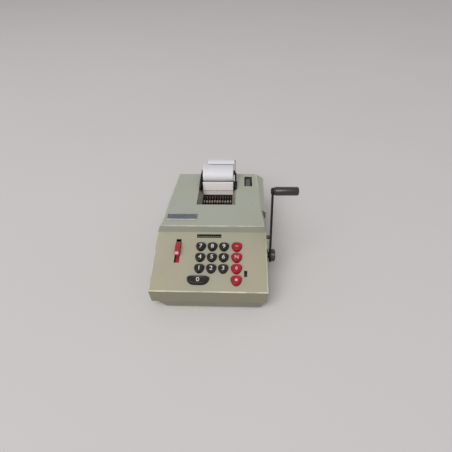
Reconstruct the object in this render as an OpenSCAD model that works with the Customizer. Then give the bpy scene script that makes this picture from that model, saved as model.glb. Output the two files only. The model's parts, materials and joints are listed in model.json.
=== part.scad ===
// Hand-cranked ten-key printing adding machine.
// +X right, +Y to the rear, +Z up, millimetres.
// The origin is on the table, in the middle of the box around the whole machine.
// Inside the modules Y is counted from the front top edge of the case.

/* [Case] */
// Width of the lower case
case_w = 184; // [182:1:186]
// Distance from the front top edge to the rear top edge
case_d = 262; // [260:1:264]
// Height of the front top edge above the table
front_h = 46; // [45:0.5:47]
// Slope of the keyboard plate in degrees
plate_slope = 15; // [14.5:0.1:15.5]
// Distance from the front top edge to the foot of the cover lip
plate_d = 105; // [104:0.5:106]
// Height of the lower edge of the case skirt
skirt_z = 16; // [15:0.5:17]
// Sheet thickness of the case and the cover
wall = 2; // [1.6:0.1:2.2]

/* [Cover] */
// Height of the top edge of the cover lip
lip_z = 85; // [84:0.5:86]
// Height of the rear top edge of the cover
rear_z = 91; // [90:0.5:92]
// Height of the seam between case and cover at the rear
seam_rear_z = 53.7; // [52:0.1:55]
// Height of the lower edge of the slanted facet on the right
facet_z = 82; // [81:0.5:83]
// Distance from the front top edge to the step in the right side
step_y = 150; // [146:1:154]

/* [Keyboard] */
// Distance between digit key columns
key_pitch_x = 19; // [18.5:0.5:19.5]
// Distance between key rows along the plate
key_pitch_s = 20; // [19.5:0.5:20.5]
// Position of the left digit column
key_left_x = -16; // [-18:1:-14]
// Distance of the zero key row from the front top edge along the plate
key_front_s = 19; // [18:0.5:20]
// Position of the red function key column
red_x = 43; // [42:0.5:44]
// Travel of every key
key_travel = 4; // [3:0.5:4]

/* [Printing] */
// Middle of the paper, well, platen and type sectors
print_x = 4; // [3:0.5:5]
// Width of the paper roll
paper_w = 58; // [55:0.5:58]
// Radius of the paper roll
roll_r = 18; // [16:0.5:25]
// Radius of the rubber platen
platen_r = 13; // [12.5:0.1:13]
// Number of type sectors
type_count = 11; // [7:1:11]

/* [Crank] */
// Distance from the hub to the grip
crank_len = 112; // [108:1:115]
// Angle of the resting crank arm above the rearward direction
crank_rest = 72; // [70:1:72]
// Length of the grip
grip_len = 38.5; // [36:0.5:44]
// Radius of the grip
grip_r = 6.9; // [6:0.1:7]
// Number of teeth on each drive gear
gear_teeth = 16; // [16:2:18]

/* [Hidden] */
$fn = 64;

half_w = case_w / 2;
big = 600;
sliver = 0.01;

// Side profile of the case as [distance from the front edge, height]
rear_lean = 4 / 75;
function rear_y(z) = case_d + (rear_z - z) * rear_lean;
skirt_front_y = 4.2;
foot_z = front_h + plate_d * tan(plate_slope);
lip_y = plate_d + 3;
front_pt = [0, front_h];
foot_pt = [plate_d, foot_z];
seam_pt = [rear_y(seam_rear_z), seam_rear_z];
skirt_rear_pt = [rear_y(skirt_z), skirt_z];
skirt_front_pt = [skirt_front_y, skirt_z];
case_profile = [skirt_front_pt, skirt_rear_pt, seam_pt, foot_pt, front_pt];

// Corners of the flat top of the cover
lip_l = [-87.3, lip_y, lip_z];
lip_r = [88.4, lip_y, lip_z];
rear_l = [-75.5, case_d, rear_z];
rear_r = [77.9, case_d, rear_z];
side_x = half_w + 1;

// Places on the keyboard plate, measured up the slope from the front edge
function on_plate(s, t = 0) = [s * cos(plate_slope) - t * sin(plate_slope),
                               front_h + s * sin(plate_slope) + t * cos(plate_slope)];
function top_z(y) = lip_z + (y - lip_y) * (rear_z - lip_z) / (case_d - lip_y);
cover_slope = atan((rear_z - lip_z) / (case_d - lip_y));

// Well for the paper and window for the type
well_w = 70;
well_front_y = 165;
funnel_end_y = 218.5;
funnel_inset = 7;
funnel_z = 70;
well_floor_z = 73;
sheet = 1.5;
well_x0 = print_x - well_w / 2;
well_x1 = print_x + well_w / 2;
well_rear_x1 = well_x1 + 2;
notch_y = 209.5;
notch_z = 84;
paper_x = print_x + 0.6;
side_l = print_x - 32;
side_r = print_x + 33.5;

// Shafts as [distance from the front edge, height]
crank_at = [81, 45];
gear_module = 2;
gear_r = gear_teeth * gear_module / 2;
main_at = [crank_at[0] + 2 * gear_r, 45];
type_at = [155, 62];
register_at = [130, 26];
platen_at = [235, 65];
spindle_at = [248, 102];
fit = 0.05;
paper_gap = 0.15;
paper_t = 0.3;
press_r = 5;
press_at = [platen_at[0], platen_at[1] - platen_r - 2 * paper_gap - paper_t - press_r];
crank_shaft_r = 5;
main_shaft_r = 4;
type_shaft_r = 4;
register_shaft_r = 3;
platen_shaft_r = 3;
spindle_r = 4.5;
spindle_end_r = 2.5;
core_r = 7;
press_shaft_r = 2;

// Feet and screws
foot_xs = [-56, 68];
foot_ys = [32, 236];
foot_r = 8;
foot_h = 3;
screw_head = 1.4;
base_screw_r = 2.1;
case_screw_r = 1.6;
case_screw_head_r = 3.2;
slit = 0.8;
stop_pin_r = 2;
bushing_r = 9;
flange_r = 11;
flange_t = 1.6;

// Inner frame
frame_l = -76;
frame_r = 78;
frame_t = 2;
floor_z = 5;
member_z = 25;
member_ys = [20, 205];
bridge_z = 34;
rod_r = 4;
rod_ats = [[52, 22], [170, 22], [248, 28]];
rail_r = 2.5;
rail_ats = [[94, 34], [102, 34]];

// Stop-pin carriage
carriage_x0 = 12;
carriage_w = 30;
carriage_y0 = 90;
carriage_y1 = 106;

// Repeat lever
lever_x = -53.7;
lever_s = 72;
lever_w = 6.6;
lever_depth = 34;
lever_at = on_plate(lever_s, -lever_depth);
lever_pin_r = 3;
slot_w = 8.6;
slot_len = 45;

// Column window and small adjusting slot
window_x = -3.7;
window_s = 101;
window_w = 41;
window_len = 7.6;
adjust_x = 57.5;
adjust_s = 31.6;
adjust_w = 5;
adjust_len = 11;

// Keys as [column position, row position along the plate, width, length]
digit_w = 16.4;
digit_len = 15.2;
red_w = 17.4;
red_len = 16.6;
zero_w = 35;
zero_x = key_left_x - 0.6;
zero_len = 14.4;
cap_top = 5.5;
cap_bottom = -3;
cap_gap = 0.6;
stem_r = 2;
guide_t = 2;
guide_depth = 14;
stem_end = -guide_depth - guide_t - key_travel;
function digit_place(d) = d == 0 ? [zero_x, key_front_s]
    : [key_left_x + ((d - 1) % 3) * key_pitch_x, key_front_s + (1 + floor((d - 1) / 3)) * key_pitch_s];
function red_place(row) = [red_x, key_front_s + row * key_pitch_s];
key_places = concat([for (d = [0:9]) digit_place(d)], [for (row = [0:3]) red_place(row)]);
function cap_size(i) = i == 0 ? [zero_w, zero_len] : i < 10 ? [digit_w, digit_len] : [red_w, red_len];

// Outline of a key cap: broad at the rear, narrower at the front
function power(v, e) = sign(v) * pow(abs(v), e);
function cap_outline(i, grow = 0) =
    let (w = cap_size(i)[0] / 2 + grow, l = cap_size(i)[1] / 2 + grow)
    let (e = i == 0 ? 0.42 : 0.8, k = i == 0 ? 0.2 : 0.3)
    [for (a = [0:10:350]) [w * power(cos(a), e) * (1 + k * (sin(a) - 0.3)), l * power(sin(a), 0.85)]];

// Crank
arm_x = 97;
arm_t = 3;
hub_r = 12;
arm_w0 = 14;
arm_w1 = 11;
grip_at = crank_at + crank_len * [cos(crank_rest), sin(crank_rest)];
grip_x = arm_x + arm_t + 0.4;
grip_pin_r = 3;
gear_x = 82;
gear_w = 5;

// Middle of the box around the machine: left case screws to grip, front edge to roll
origin_x = (grip_x + grip_len - half_w - screw_head) / 2;
head_out = screw_head * cos(atan(rear_lean)) + case_screw_head_r * sin(atan(rear_lean));
rear_end = max(spindle_at[0] + roll_r, rear_y(40) + head_out);
origin_y = rear_end / 2;

// Type sectors
type_r = 65;
type_pitch = 5;
type_t = 3.2;
type_top = 5;
type_low = -32;
type_x0 = print_x - (type_count - 1) / 2 * type_pitch;

// Ribbon
spool_y = 186;
spool_dx = 56;
spool_r = 17;
spool_z = 55;
spool_h = 16;
post_r = 2.5;
wound_r = 14;
ribbon_y = 220.6;
ribbon_z = 57;
ribbon_h = 12;

// Thumbwheel
thumb_r = 26;
thumb_x = 57.5;
thumb_w = 9;
thumb_slot = [55, 220.6, 15, 32.6];

// Half of space on the inner side of the plane through a, b and c, moved in by inset
module half_space(a, b, c, inset = 0) {
    n = cross(b - a, c - a);
    u = n / norm(n);
    translate(a - u * inset) rotate([0, acos(u[2]), atan2(u[1], u[0])])
        translate([-big / 2, -big / 2, -big]) cube(big);
}

// Half of the plane to the left of the line from a to b, moved in by inset
module half_plane(a, b, inset) {
    d = b - a;
    translate(a) rotate(atan2(d[1], d[0])) translate([-big / 2, inset]) square(big);
}

// Convex profile with each edge moved in by its own inset
module inset_profile(points, insets) {
    n = len(points);
    intersection_for (i = [0:n - 1]) half_plane(points[i], points[(i + 1) % n], insets[i]);
}

// Solid from a profile in Y and Z, running along X
module along_x(x0, length) {
    translate([x0, 0, 0]) rotate([90, 0, 90]) linear_extrude(length) children();
}

// Round bar along X about a point given as [Y, Z]
module bar_x(at, r, x0, x1) {
    translate([x0, at[0], at[1]]) rotate([0, 90, 0]) cylinder(h = x1 - x0, r = r);
}

// Children drawn on the keyboard plate: X across, Y up the slope, Z out of the plate
module on_keyboard(x = 0, s = 0) {
    translate([0, 0, front_h]) rotate([plate_slope, 0, 0]) translate([x, s, 0]) children();
}

// Children drawn on the cover top, with Y counted from the front top edge
module on_cover(x, y) {
    translate([x, y, top_z(y)]) rotate([cover_slope, 0, 0]) children();
}

// Tray under the machine with a rim that carries the case
module base_pan() {
    pan_y0 = 5.4;
    pan_y1 = 258;
    rim_t = 1.6;
    outer = [[-82, skirt_z - rim_t], [-69, foot_h], [81, foot_h], [88, skirt_z - rim_t]];
    inner = [[-78.5, skirt_z + 1], [-68.2, floor_z], [80, floor_z], [86, skirt_z + 1]];
    color("#7f7d6d") difference() {
        union() {
            translate([0, pan_y1, 0]) rotate([90, 0, 0]) linear_extrude(pan_y1 - pan_y0) polygon(outer);
            translate([-half_w + 1, pan_y0 - 0.4, skirt_z - rim_t])
                cube([case_w - 2, rear_y(skirt_z) - pan_y0 - 1, rim_t]);
        }
        translate([0, pan_y1 - wall, 0]) rotate([90, 0, 0])
            linear_extrude(pan_y1 - pan_y0 - 2 * wall) polygon(inner);
        foot_places() translate([0, 0, foot_h - 1]) cylinder(h = wall + 2, r = base_screw_r);
    }
}

// The four foot positions
module foot_places() {
    for (x = foot_xs, y = foot_ys) translate([x, y, 0]) children();
}

// Rubber feet with a hole for their screw
module rubber_feet() {
    color("#2b2a28") foot_places() difference() {
        cylinder(h = foot_h, r = foot_r);
        translate([0, 0, -1]) cylinder(h = foot_h + 2, r = base_screw_r);
        translate([0, 0, -1]) cylinder(h = 2.2, r = 4.5);
    }
}

// Screws through the feet and the tray into the cross members
module base_screws() {
    color("silver") foot_places() {
        translate([0, 0, 1.2]) cylinder(h = floor_z - 1.2, r = base_screw_r);
        difference() {
            translate([0, 0, 0.4]) cylinder(h = 0.8, r = 4.4);
            translate([-5, -slit / 2, 0]) cube([10, slit, 0.8]);
        }
    }
}

// Lower case with the keyboard plate
module lower_case() {
    open_y = plate_d + 7;
    shelf = 4;
    color("#a5a38f") difference() {
        along_x(-half_w, case_w) polygon(case_profile);
        along_x(-half_w + wall, case_w - 2 * wall)
            inset_profile(case_profile, [-wall, wall, wall, wall, wall]);
        along_x(-half_w + shelf, case_w - 2 * shelf) polygon([[open_y, 30], [case_d - 3, 30],
            [case_d - 3, 90], [open_y, 90]]);
        for (i = [0:13]) on_keyboard(key_places[i][0], key_places[i][1])
            translate([0, 0, -2 * wall]) linear_extrude(4 * wall) polygon(cap_outline(i, cap_gap));
        on_keyboard(lever_x - slot_w / 2, lever_s - slot_len / 2)
            translate([0, 0, -2 * wall]) cube([slot_w, slot_len, 4 * wall]);
        on_keyboard(window_x - window_w / 2, window_s - window_len / 2)
            translate([0, 0, -2 * wall]) cube([window_w, window_len, 4 * wall]);
        on_keyboard(adjust_x - adjust_w / 2, adjust_s - adjust_len / 2)
            translate([0, 0, -2 * wall]) cube([adjust_w, adjust_len, 4 * wall]);
        bar_x(crank_at, bushing_r, half_w - 3 * wall, half_w + wall);
        case_screw_places() translate([0, 0, -4]) cylinder(h = 8, r = case_screw_r);
        bar_x(crank_stop_at(), stop_pin_r, half_w - 3 * wall, half_w + wall);
    }
}

// Screws that hold the case to the tray and the cover to the case, Z outwards
module case_screw_places() {
    for (side = [-1, 1], y = [40, 225]) translate([side * half_w, y, 26])
        rotate([0, 90 * side, 0]) children();
    for (x = [-62, 74], z = [40, 66]) translate([x, rear_y(z), z])
        rotate([-90 + atan(rear_lean), 0, 0]) children();
}

module case_screws() {
    color("silver") case_screw_places() {
        translate([0, 0, -3]) cylinder(h = 3, r = case_screw_r);
        difference() {
            cylinder(h = screw_head, r = case_screw_head_r);
            translate([-4, -slit / 2, screw_head / 2]) cube([8, slit, 1]);
        }
    }
}

// Everything above the seam between case and cover
module above_seam(inset) {
    half_space([0, foot_pt[0], foot_pt[1]], [0, seam_pt[0], seam_pt[1]], [1, foot_pt[0], foot_pt[1]],
        inset);
}

// Body of the cover without the raised right side
module cover_main(inset, seam) {
    intersection() {
        half_space(lip_l, lip_r, rear_r, inset);
        half_space([0, plate_d, foot_z], [1, plate_d, foot_z], [0, lip_y, lip_z], inset);
        half_space([0, case_d, rear_z], [1, case_d, rear_z], [0, rear_y(0), 0], inset);
        half_space([-half_w, plate_d, foot_z], lip_l, rear_l, inset);
        half_space([half_w, plate_d, foot_z], rear_r, lip_r, inset);
        above_seam(seam);
    }
}

// Raised right side of the cover behind the step, with its slanted facet
module cover_side(inset, seam) {
    intersection() {
        half_space(lip_l, lip_r, rear_r, inset);
        half_space(rear_r, lip_r, [side_x, lip_y, facet_z], inset);
        half_space([0, case_d, rear_z], [1, case_d, rear_z], [0, rear_y(0), 0], inset);
        above_seam(seam);
        translate([60, step_y + inset, 0]) cube([side_x - 60 - inset, big, 200]);
    }
}

// Top cover with the paper well, the type window and the thumbwheel slot
module top_cover() {
    color("#a0a898") difference() {
        union() {
            difference() {
                union() {
                    cover_main(0, 0);
                    cover_side(0, 0);
                }
                cover_main(wall, -wall);
                cover_side(wall, -wall);
            }
            intersection() {
                cover_main(sliver, 0);
                well_walls();
            }
        }
        translate([well_x0, well_front_y, top_z(well_front_y) - 2 * wall]) cube([well_w, big, 50]);
        translate([well_x0, funnel_end_y, well_floor_z]) cube([well_rear_x1 - well_x0, big, 50]);
        translate([well_x0, notch_y, notch_z]) cube([well_rear_x1 - well_x0, big, 50]);
        on_cover(thumb_slot[0], thumb_slot[1]) translate([0, 0, -2 * wall])
            cube([thumb_slot[2], thumb_slot[3], 4 * wall]);
        case_screw_places() translate([0, 0, -4]) cylinder(h = 8, r = case_screw_r);
    }
}

// Sheet walls that hang down around the well
module well_walls() {
    for (side = [-1, 1]) {
        translate([print_x, funnel_end_y, 0]) rotate([90, 0, 0]) linear_extrude(funnel_end_y - well_front_y)
            polygon([for (p = [[0, rear_z], [0, top_z(well_front_y) - 2 * wall], [-funnel_inset, funnel_z],
                [sheet - funnel_inset, funnel_z], [sheet, top_z(well_front_y) - 2 * wall], [sheet, rear_z]])
                [side * (well_w / 2 + p[0]), p[1]]]);
        translate([side > 0 ? well_rear_x1 : well_x0 - sheet, funnel_end_y, well_floor_z])
            cube([sheet, case_d - funnel_end_y, 20]);
    }
    translate([well_x0 + funnel_inset, well_front_y - sheet, well_floor_z])
        cube([well_w - 2 * funnel_inset, sheet, 20]);
}

// Plain metal plate on the left of the cover
module nameplate() {
    color("#b9bdc4") on_cover(-78.5, 123) cube([52, 16, 1.2]);
}

// Side frame profile with the bores of the shafts
module frame_side(x) {
    top_front = on_plate(14, -5);
    top_rear = on_plate(98, -6);
    color("#8e9094") difference() {
        along_x(x, frame_t) polygon([[12, skirt_z + 1], top_front, top_rear, [118, 66], [126, 74], [256, 74],
            [256, skirt_z + 1]]);
        bar_x(main_at, main_shaft_r + fit, x - 1, x + frame_t + 1);
        bar_x(type_at, type_shaft_r, x - 1, x + frame_t + 1);
        bar_x(register_at, register_shaft_r + fit, x - 1, x + frame_t + 1);
        for (at = rod_ats) bar_x(at, rod_r - 1, x - 1, x + frame_t + 1);
        for (at = rail_ats) bar_x(at, rail_r, x - 1, x + frame_t + 1);
        children();
    }
}

module left_frame() {
    frame_side(frame_l) bar_x(lever_at, lever_pin_r, frame_l - 1, frame_l + frame_t + 1);
}

module right_frame() {
    frame_side(frame_r) bar_x(crank_at, crank_shaft_r + fit, frame_r - 1, frame_r + frame_t + 1);
}

// Channels across the tray and the bridge under the platen
module cross_members() {
    length = frame_r - frame_l - frame_t;
    color("#77797c") {
        for (y = member_ys) translate([frame_l + frame_t, y, 0]) difference() {
            translate([0, 0, skirt_z]) cube([length, 24, member_z - skirt_z]);
            translate([-1, wall, skirt_z - 1])
                cube([length + 2, 24 - 2 * wall, member_z - skirt_z + 1 - wall]);
        }
        translate([frame_l + frame_t, 222, bridge_z]) cube([length, 24, wall]);
        foot_places() translate([0, 0, floor_z]) cylinder(h = member_z - wall - floor_z, r = 5);
    }
}

// Rods between the frames with a nut on each end
module tie_rods() {
    color("#9a9c9f") for (at = rod_ats) {
        bar_x(at, rod_r, frame_l + frame_t, frame_r);
        bar_x(at, rod_r - 1, frame_l - 4, frame_r + frame_t + 4);
        for (x = [frame_l - 3, frame_r + frame_t])
            translate([x, at[0], at[1]]) rotate([0, 90, 0]) cylinder(h = 3, r = 6, $fn = 6);
    }
}

// Lower plate that guides the key stems, hung from the keyboard plate on posts
module key_guide_plate() {
    x0 = -44;
    s0 = 6;
    s1 = 90;
    color("#8e9094") difference() {
        union() {
            on_keyboard(x0, s0) translate([0, 0, -guide_depth - guide_t])
                cube([frame_r - x0, s1 - s0, guide_t]);
            for (x = [-38, 66], s = [10, 84]) on_keyboard(x, s) translate([0, 0, -guide_depth])
                cylinder(h = guide_depth - wall, r = 3);
        }
        for (place = key_places) on_keyboard(place[0], place[1])
            translate([0, 0, -guide_depth - guide_t - 1]) cylinder(h = guide_t + 2, r = stem_r + fit);
    }
}

// Dark strip with raised marks behind the column window
module column_scale() {
    depth = -wall - 2.6;
    scale_s = window_s - 1;
    color("#1c1c1c") difference() {
        on_keyboard(window_x - window_w / 2 - 3, scale_s) translate([0, 0, depth])
            cube([window_w + 6, 6.2, 1]);
        for (i = [0:10]) on_keyboard(window_x - 18 + i * 3.6, scale_s - 1)
            translate([-0.8, 0, depth - 1]) cube([1.6, 3, 3]);
    }
    color("#1c1c1c") for (x = [window_x - window_w / 2 - 3, window_x + window_w / 2 + 1])
        on_keyboard(x, scale_s) translate([0, 0, depth + 1]) cube([2, 6, -depth - 1 - wall]);
}

module carriage_rails() {
    color("#b5b7ba") for (at = rail_ats) bar_x(at, rail_r, frame_l, frame_r + frame_t);
}

// Flanged bearing of the crank shaft in the case wall
module crank_bushing() {
    inner_x = half_w - wall - flange_t;
    color("#4b4540") difference() {
        union() {
            bar_x(crank_at, bushing_r, inner_x + flange_t, half_w);
            bar_x(crank_at, flange_r, half_w, half_w + flange_t + 1);
            bar_x(crank_at, flange_r, inner_x, inner_x + flange_t);
        }
        bar_x(crank_at, crank_shaft_r + fit, inner_x - 1, half_w + 4);
    }
}

// Place of the stop that the resting crank arm leans on
function crank_stop_at() =
    let (reach = 28.5, back = 10.2)
    crank_at + reach * [cos(crank_rest), sin(crank_rest)] + back * [sin(crank_rest), -cos(crank_rest)];

module crank_stop() {
    color("#5b4632") {
        bar_x(crank_stop_at(), 3.2, half_w, arm_x + arm_t);
        bar_x(crank_stop_at(), stop_pin_r, half_w - wall, half_w);
    }
}

module lever_pin() {
    color("#9a9c9f") bar_x(lever_at, lever_pin_r, frame_l, lever_x + lever_w / 2 + 3);
}

module type_shaft() {
    color("#9a9c9f") bar_x(type_at, type_shaft_r, frame_l, frame_r + frame_t);
}

// Plates on both sides of the platen
module platen_cheeks() {
    cheek_t = 2.4;
    profile = [[221.2, bridge_z + wall], [244, bridge_z + wall], [256, 58], [258, 84], [258, 94], [254, 98],
        [232, 97], [214, 95.5], [210.5, 92], [212.5, 87.5], [221.2, 84.5]];
    color("#1d1d1d") for (x = [side_l - cheek_t, side_r]) difference() {
        along_x(x, cheek_t) polygon(profile);
        bar_x(platen_at, platen_shaft_r + fit, x - 1, x + cheek_t + 1);
        bar_x(press_at, press_shaft_r + fit, x - 1, x + cheek_t + 1);
    }
}

// Upright strips that carry the paper roll spindle, the right one with a longer end
module roll_arms() {
    low = [[243, 74], [254, 74], [254, 104], [251, 107], [245, 107], [243, 104]];
    high = [[243, 74], [254, 74], [255, 104], [262, 122], [258, 125], [246, 108], [243, 100]];
    color("#2a2a2a") for (side = [[side_l, low], [side_r - 1, high]]) difference() {
        along_x(side[0], 1) polygon(side[1]);
        bar_x(spindle_at, spindle_end_r, side[0] - 1, side[0] + 2);
    }
}

module roll_spindle() {
    color("#b5b7ba") {
        bar_x(spindle_at, spindle_r, side_l + 1.3, side_r - 1.3);
        bar_x(spindle_at, spindle_end_r, side_l - 0.5, side_r + 0.5);
    }
}

// Clear strip in front of the paper, whose upper edge tears it
module paper_guide() {
    color("#cfd6d4", 0.4) translate([print_x - 33.5, 220, funnel_z]) cube([67, 1.2, 9.6]);
}

// Paper between the roll and the torn end in front of the platen
module paper_web() {
    r0 = platen_r + paper_gap;
    r1 = r0 + paper_t;
    centre_d = spindle_at - platen_at;
    leave = atan2(centre_d[1], centre_d[0]) - acos((platen_r - roll_r - 2 * paper_gap) / norm(centre_d));
    function around(at, r, a) = at + r * [cos(a), sin(a)];
    end_at = [222.3, 96.5];
    steps = 24;
    start_at = platen_at - [r0, 0];
    bow_d = end_at - start_at;
    function bow(k, off) = start_at + [bow_d[0] * k * k - off, bow_d[1] * k];
    outer = concat([for (i = [6:-1:1]) bow(i / 6, paper_t)],
        [for (i = [0:steps]) around(platen_at, r1, -180 + i * (180 + leave) / steps)],
        [around(spindle_at, roll_r + paper_gap + paper_t, leave)]);
    inner = concat([around(spindle_at, roll_r + paper_gap, leave)],
        [for (i = [steps:-1:0]) around(platen_at, r0, -180 + i * (180 + leave) / steps)],
        [for (i = [1:6]) bow(i / 6, 0)]);
    color("#f4f0ea") along_x(paper_x - paper_w / 2, paper_w) polygon(concat(outer, inner));
}

// Shelves with a post for each ribbon spool
module ribbon_brackets() {
    color("#77797c") for (side = [-1, 1]) {
        x = print_x + side * spool_dx;
        x0 = side < 0 ? frame_l + frame_t : x - 14;
        x1 = side < 0 ? x + 14 : frame_r;
        translate([x0, spool_y - 14, spool_z - 2.5]) cube([x1 - x0, 28, 2]);
        translate([x, spool_y, spool_z - 1]) cylinder(h = spool_h, r = post_r);
    }
}

// Inked band from spool to spool in front of the platen
module ribbon() {
    band = [[print_x - spool_dx, spool_y + wound_r + 0.3], [print_x - 30, ribbon_y], [print_x + 30, ribbon_y],
        [print_x + spool_dx, spool_y + wound_r + 0.3]];
    color("#1b1a20") translate([0, 0, ribbon_z]) linear_extrude(ribbon_h)
        polygon(concat(band, [for (i = [3:-1:0]) band[i] + [0, paper_t]]));
}

// One key: shaped cap on a round stem with a retaining collar
module key(i, tint) {
    color(tint) on_keyboard(key_places[i][0], key_places[i][1]) {
        translate([0, 0, cap_bottom]) linear_extrude(cap_top - cap_bottom) polygon(cap_outline(i));
        translate([0, 0, stem_end]) cylinder(h = cap_bottom - stem_end, r = stem_r);
        translate([0, 0, -guide_depth - guide_t - 1.8]) cylinder(h = 1.5, r = 3.4);
    }
}

// Red lever with a finger piece that stands out of its slot
module repeat_lever() {
    boss_r = 7;
    shoe_z = lever_depth - wall - 3;
    shoe = [[-4, 4], [-20, shoe_z - 3], [-20, shoe_z], [18, shoe_z + 0.5], [18, shoe_z - 2.5], [4, 4]];
    rise = lever_depth + 9;
    finger = [[-9.5, shoe_z - 3], [-10.5, lever_depth + 1], [-10.5, rise - 2], [-6.5, rise], [4, rise - 1],
        [13, lever_depth + 5], [17, lever_depth + 1], [15.5, shoe_z - 3]];
    color("#b02334") difference() {
        union() {
            bar_x(lever_at, boss_r, lever_x - lever_w / 2, lever_x + lever_w / 2);
            along_x(lever_x - lever_w / 2, lever_w) translate(lever_at) rotate(plate_slope) polygon(shoe);
            along_x(lever_x - lever_w / 2 - 0.6, lever_w + 1.2) translate(lever_at) rotate(plate_slope)
                polygon(finger);
        }
        bar_x(lever_at, lever_pin_r + fit, lever_x - lever_w, lever_x + lever_w);
    }
}

// Flat arm with round ends, bored for the shaft and the grip pin
module crank_arm() {
    end_half = arm_w1 / 2 - 0.3;
    color("#26221f") translate([arm_x, crank_at[0], crank_at[1]]) rotate([crank_rest, 0, 0])
        rotate([90, 0, 90]) linear_extrude(arm_t) difference() {
            union() {
                circle(r = hub_r);
                translate([crank_len, 0]) circle(r = arm_w1 / 2);
                polygon([[0, -arm_w0 / 2], [crank_len, -end_half], [crank_len, end_half], [0, arm_w0 / 2]]);
            }
            circle(r = crank_shaft_r);
            translate([crank_len, 0]) circle(r = grip_pin_r);
        }
}

module crank_shaft() {
    color("#9a9c9f") bar_x(crank_at, crank_shaft_r, frame_r - 2, arm_x + arm_t + 2);
}

// Spur gear about X with straight-sided teeth
module spur(at, x, turn) {
    root_r = gear_r - 1.25 * gear_module;
    tip_r = gear_r + 0.9 * gear_module;
    step = 360 / gear_teeth;
    tooth = [[root_r - 1, 0.3], [gear_r, 0.22], [tip_r, 0.1]];
    translate([x, at[0], at[1]]) rotate([90, 0, 90]) linear_extrude(gear_w) union() {
        circle(r = root_r);
        for (i = [0:gear_teeth - 1]) rotate(turn + i * step)
            polygon(concat([for (k = tooth) k[0] * [cos(-k[1] * step), sin(-k[1] * step)]],
                [for (j = [2:-1:0]) tooth[j][0] * [cos(tooth[j][1] * step), sin(tooth[j][1] * step)]]));
    }
}

module crank_gear() {
    color("#a9a17a") difference() {
        spur(crank_at, gear_x, 0);
        bar_x(crank_at, crank_shaft_r, gear_x - 1, gear_x + gear_w + 1);
    }
}

module main_gear() {
    color("#a9a17a") difference() {
        spur(main_at, gear_x, 180 / gear_teeth);
        bar_x(main_at, main_shaft_r, gear_x - 1, gear_x + gear_w + 1);
    }
}

// Cap over the end of the crank shaft
module hub_cap() {
    cap_x = arm_x + arm_t;
    color("#4b4540") difference() {
        union() {
            bar_x(crank_at, 10.5, cap_x, cap_x + 5.5);
            bar_x(crank_at, 9, cap_x + 5.5, cap_x + 6.7);
        }
        bar_x(crank_at, crank_shaft_r, cap_x - 1, cap_x + 2);
        translate([cap_x + 5.2, crank_at[0] - 12, crank_at[1] - 0.8]) cube([3, 24, 1.6]);
    }
}

module grip_pin() {
    color("#9a9c9f") {
        bar_x(grip_at, grip_pin_r, arm_x, grip_x + grip_len - 4);
        bar_x(grip_at, 4.5, arm_x - 1.2, arm_x);
    }
}

// Turning grip with a rounded outer end
module crank_grip() {
    round_r = 2.5;
    color("#241f1d") translate([grip_x, grip_at[0], grip_at[1]]) rotate([90, 0, 90]) difference() {
        rotate_extrude() union() {
            square([grip_r - 1, grip_len]);
            translate([0, 1]) square([grip_r, grip_len - 1 - round_r]);
            translate([0, grip_len - round_r]) square([grip_r - round_r, round_r]);
            intersection() {
                translate([grip_r - round_r, grip_len - round_r]) circle(r = round_r);
                square([grip_r, grip_len]);
            }
        }
        translate([0, 0, -1]) cylinder(h = grip_len - 2.4, r = grip_pin_r + fit);
    }
}

module main_shaft() {
    color("#9a9c9f") bar_x(main_at, main_shaft_r, frame_l - 2, gear_x + gear_w + 1);
}

// Two disc cams that lift the type sectors and the register
module main_cams() {
    color("#7c7468") for (x = [-46, 58]) difference() {
        union() {
            bar_x(main_at, 9, x, x + 6);
            bar_x(main_at + [-4, 2], 8, x + 1, x + 5);
        }
        bar_x(main_at, main_shaft_r, x - 1, x + 7);
    }
}

// Row of type sectors on one shaft
module type_sectors() {
    steps = 12;
    function rim(r, i) = type_at + r * [cos(type_low + i * (type_top - type_low) / steps),
        sin(type_low + i * (type_top - type_low) / steps)];
    color("#3a3936") for (k = [0:type_count - 1]) {
        x = type_x0 + k * type_pitch - type_t / 2;
        difference() {
            union() {
                bar_x(type_at, 8, x, x + type_t);
                along_x(x, type_t) polygon(concat([type_at + [0, -6]], [for (i = [0:steps]) rim(type_r, i)],
                    [type_at + [0, 6]]));
            }
            bar_x(type_at, type_shaft_r + fit, x - 1, x + type_t + 1);
        }
    }
}

// Number wheels of the register on their shaft
module register_wheels() {
    color("#8c8f86") {
        bar_x(register_at, register_shaft_r, frame_l - 1, frame_r + frame_t + 1);
        for (k = [0:type_count - 1]) difference() {
            bar_x(register_at, 7.5, type_x0 + k * type_pitch - 1.2, type_x0 + k * type_pitch + 1.2);
            for (i = [0:9]) translate([type_x0 + k * type_pitch - 2, register_at[0], register_at[1]])
                rotate([36 * i, 0, 0]) translate([0, 7.8, 0]) rotate([0, 90, 0]) cylinder(h = 4, r = 1.3);
        }
    }
}

module platen() {
    color("#23211f") difference() {
        bar_x(platen_at, platen_r, print_x - 30.5, print_x + 30.5);
        bar_x(platen_at, platen_shaft_r, print_x - 31, print_x + 31);
    }
}

module platen_shaft() {
    color("#9a9c9f") bar_x(platen_at, platen_shaft_r, side_l - 3, thumb_x + thumb_w + 2);
}

// Wheel for feeding the paper, with finger grooves
module feed_thumbwheel() {
    grooves = 30;
    color("#4a4a4c") difference() {
        bar_x(platen_at, thumb_r, thumb_x, thumb_x + thumb_w);
        bar_x(platen_at, platen_shaft_r, thumb_x - 1, thumb_x + thumb_w + 1);
        for (i = [0:grooves - 1]) translate([thumb_x - 1, platen_at[0], platen_at[1]])
            rotate([i * 360 / grooves, 0, 0]) translate([0, thumb_r + 0.5, 0]) rotate([0, 90, 0])
                cylinder(h = thumb_w + 2, r = 1.3);
    }
}

module pressure_roller() {
    color("#2c2a28") {
        bar_x(press_at, press_r, print_x - 26, print_x + 26);
        bar_x(press_at, press_shaft_r, side_l - 3, side_r + 3);
    }
}

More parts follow.
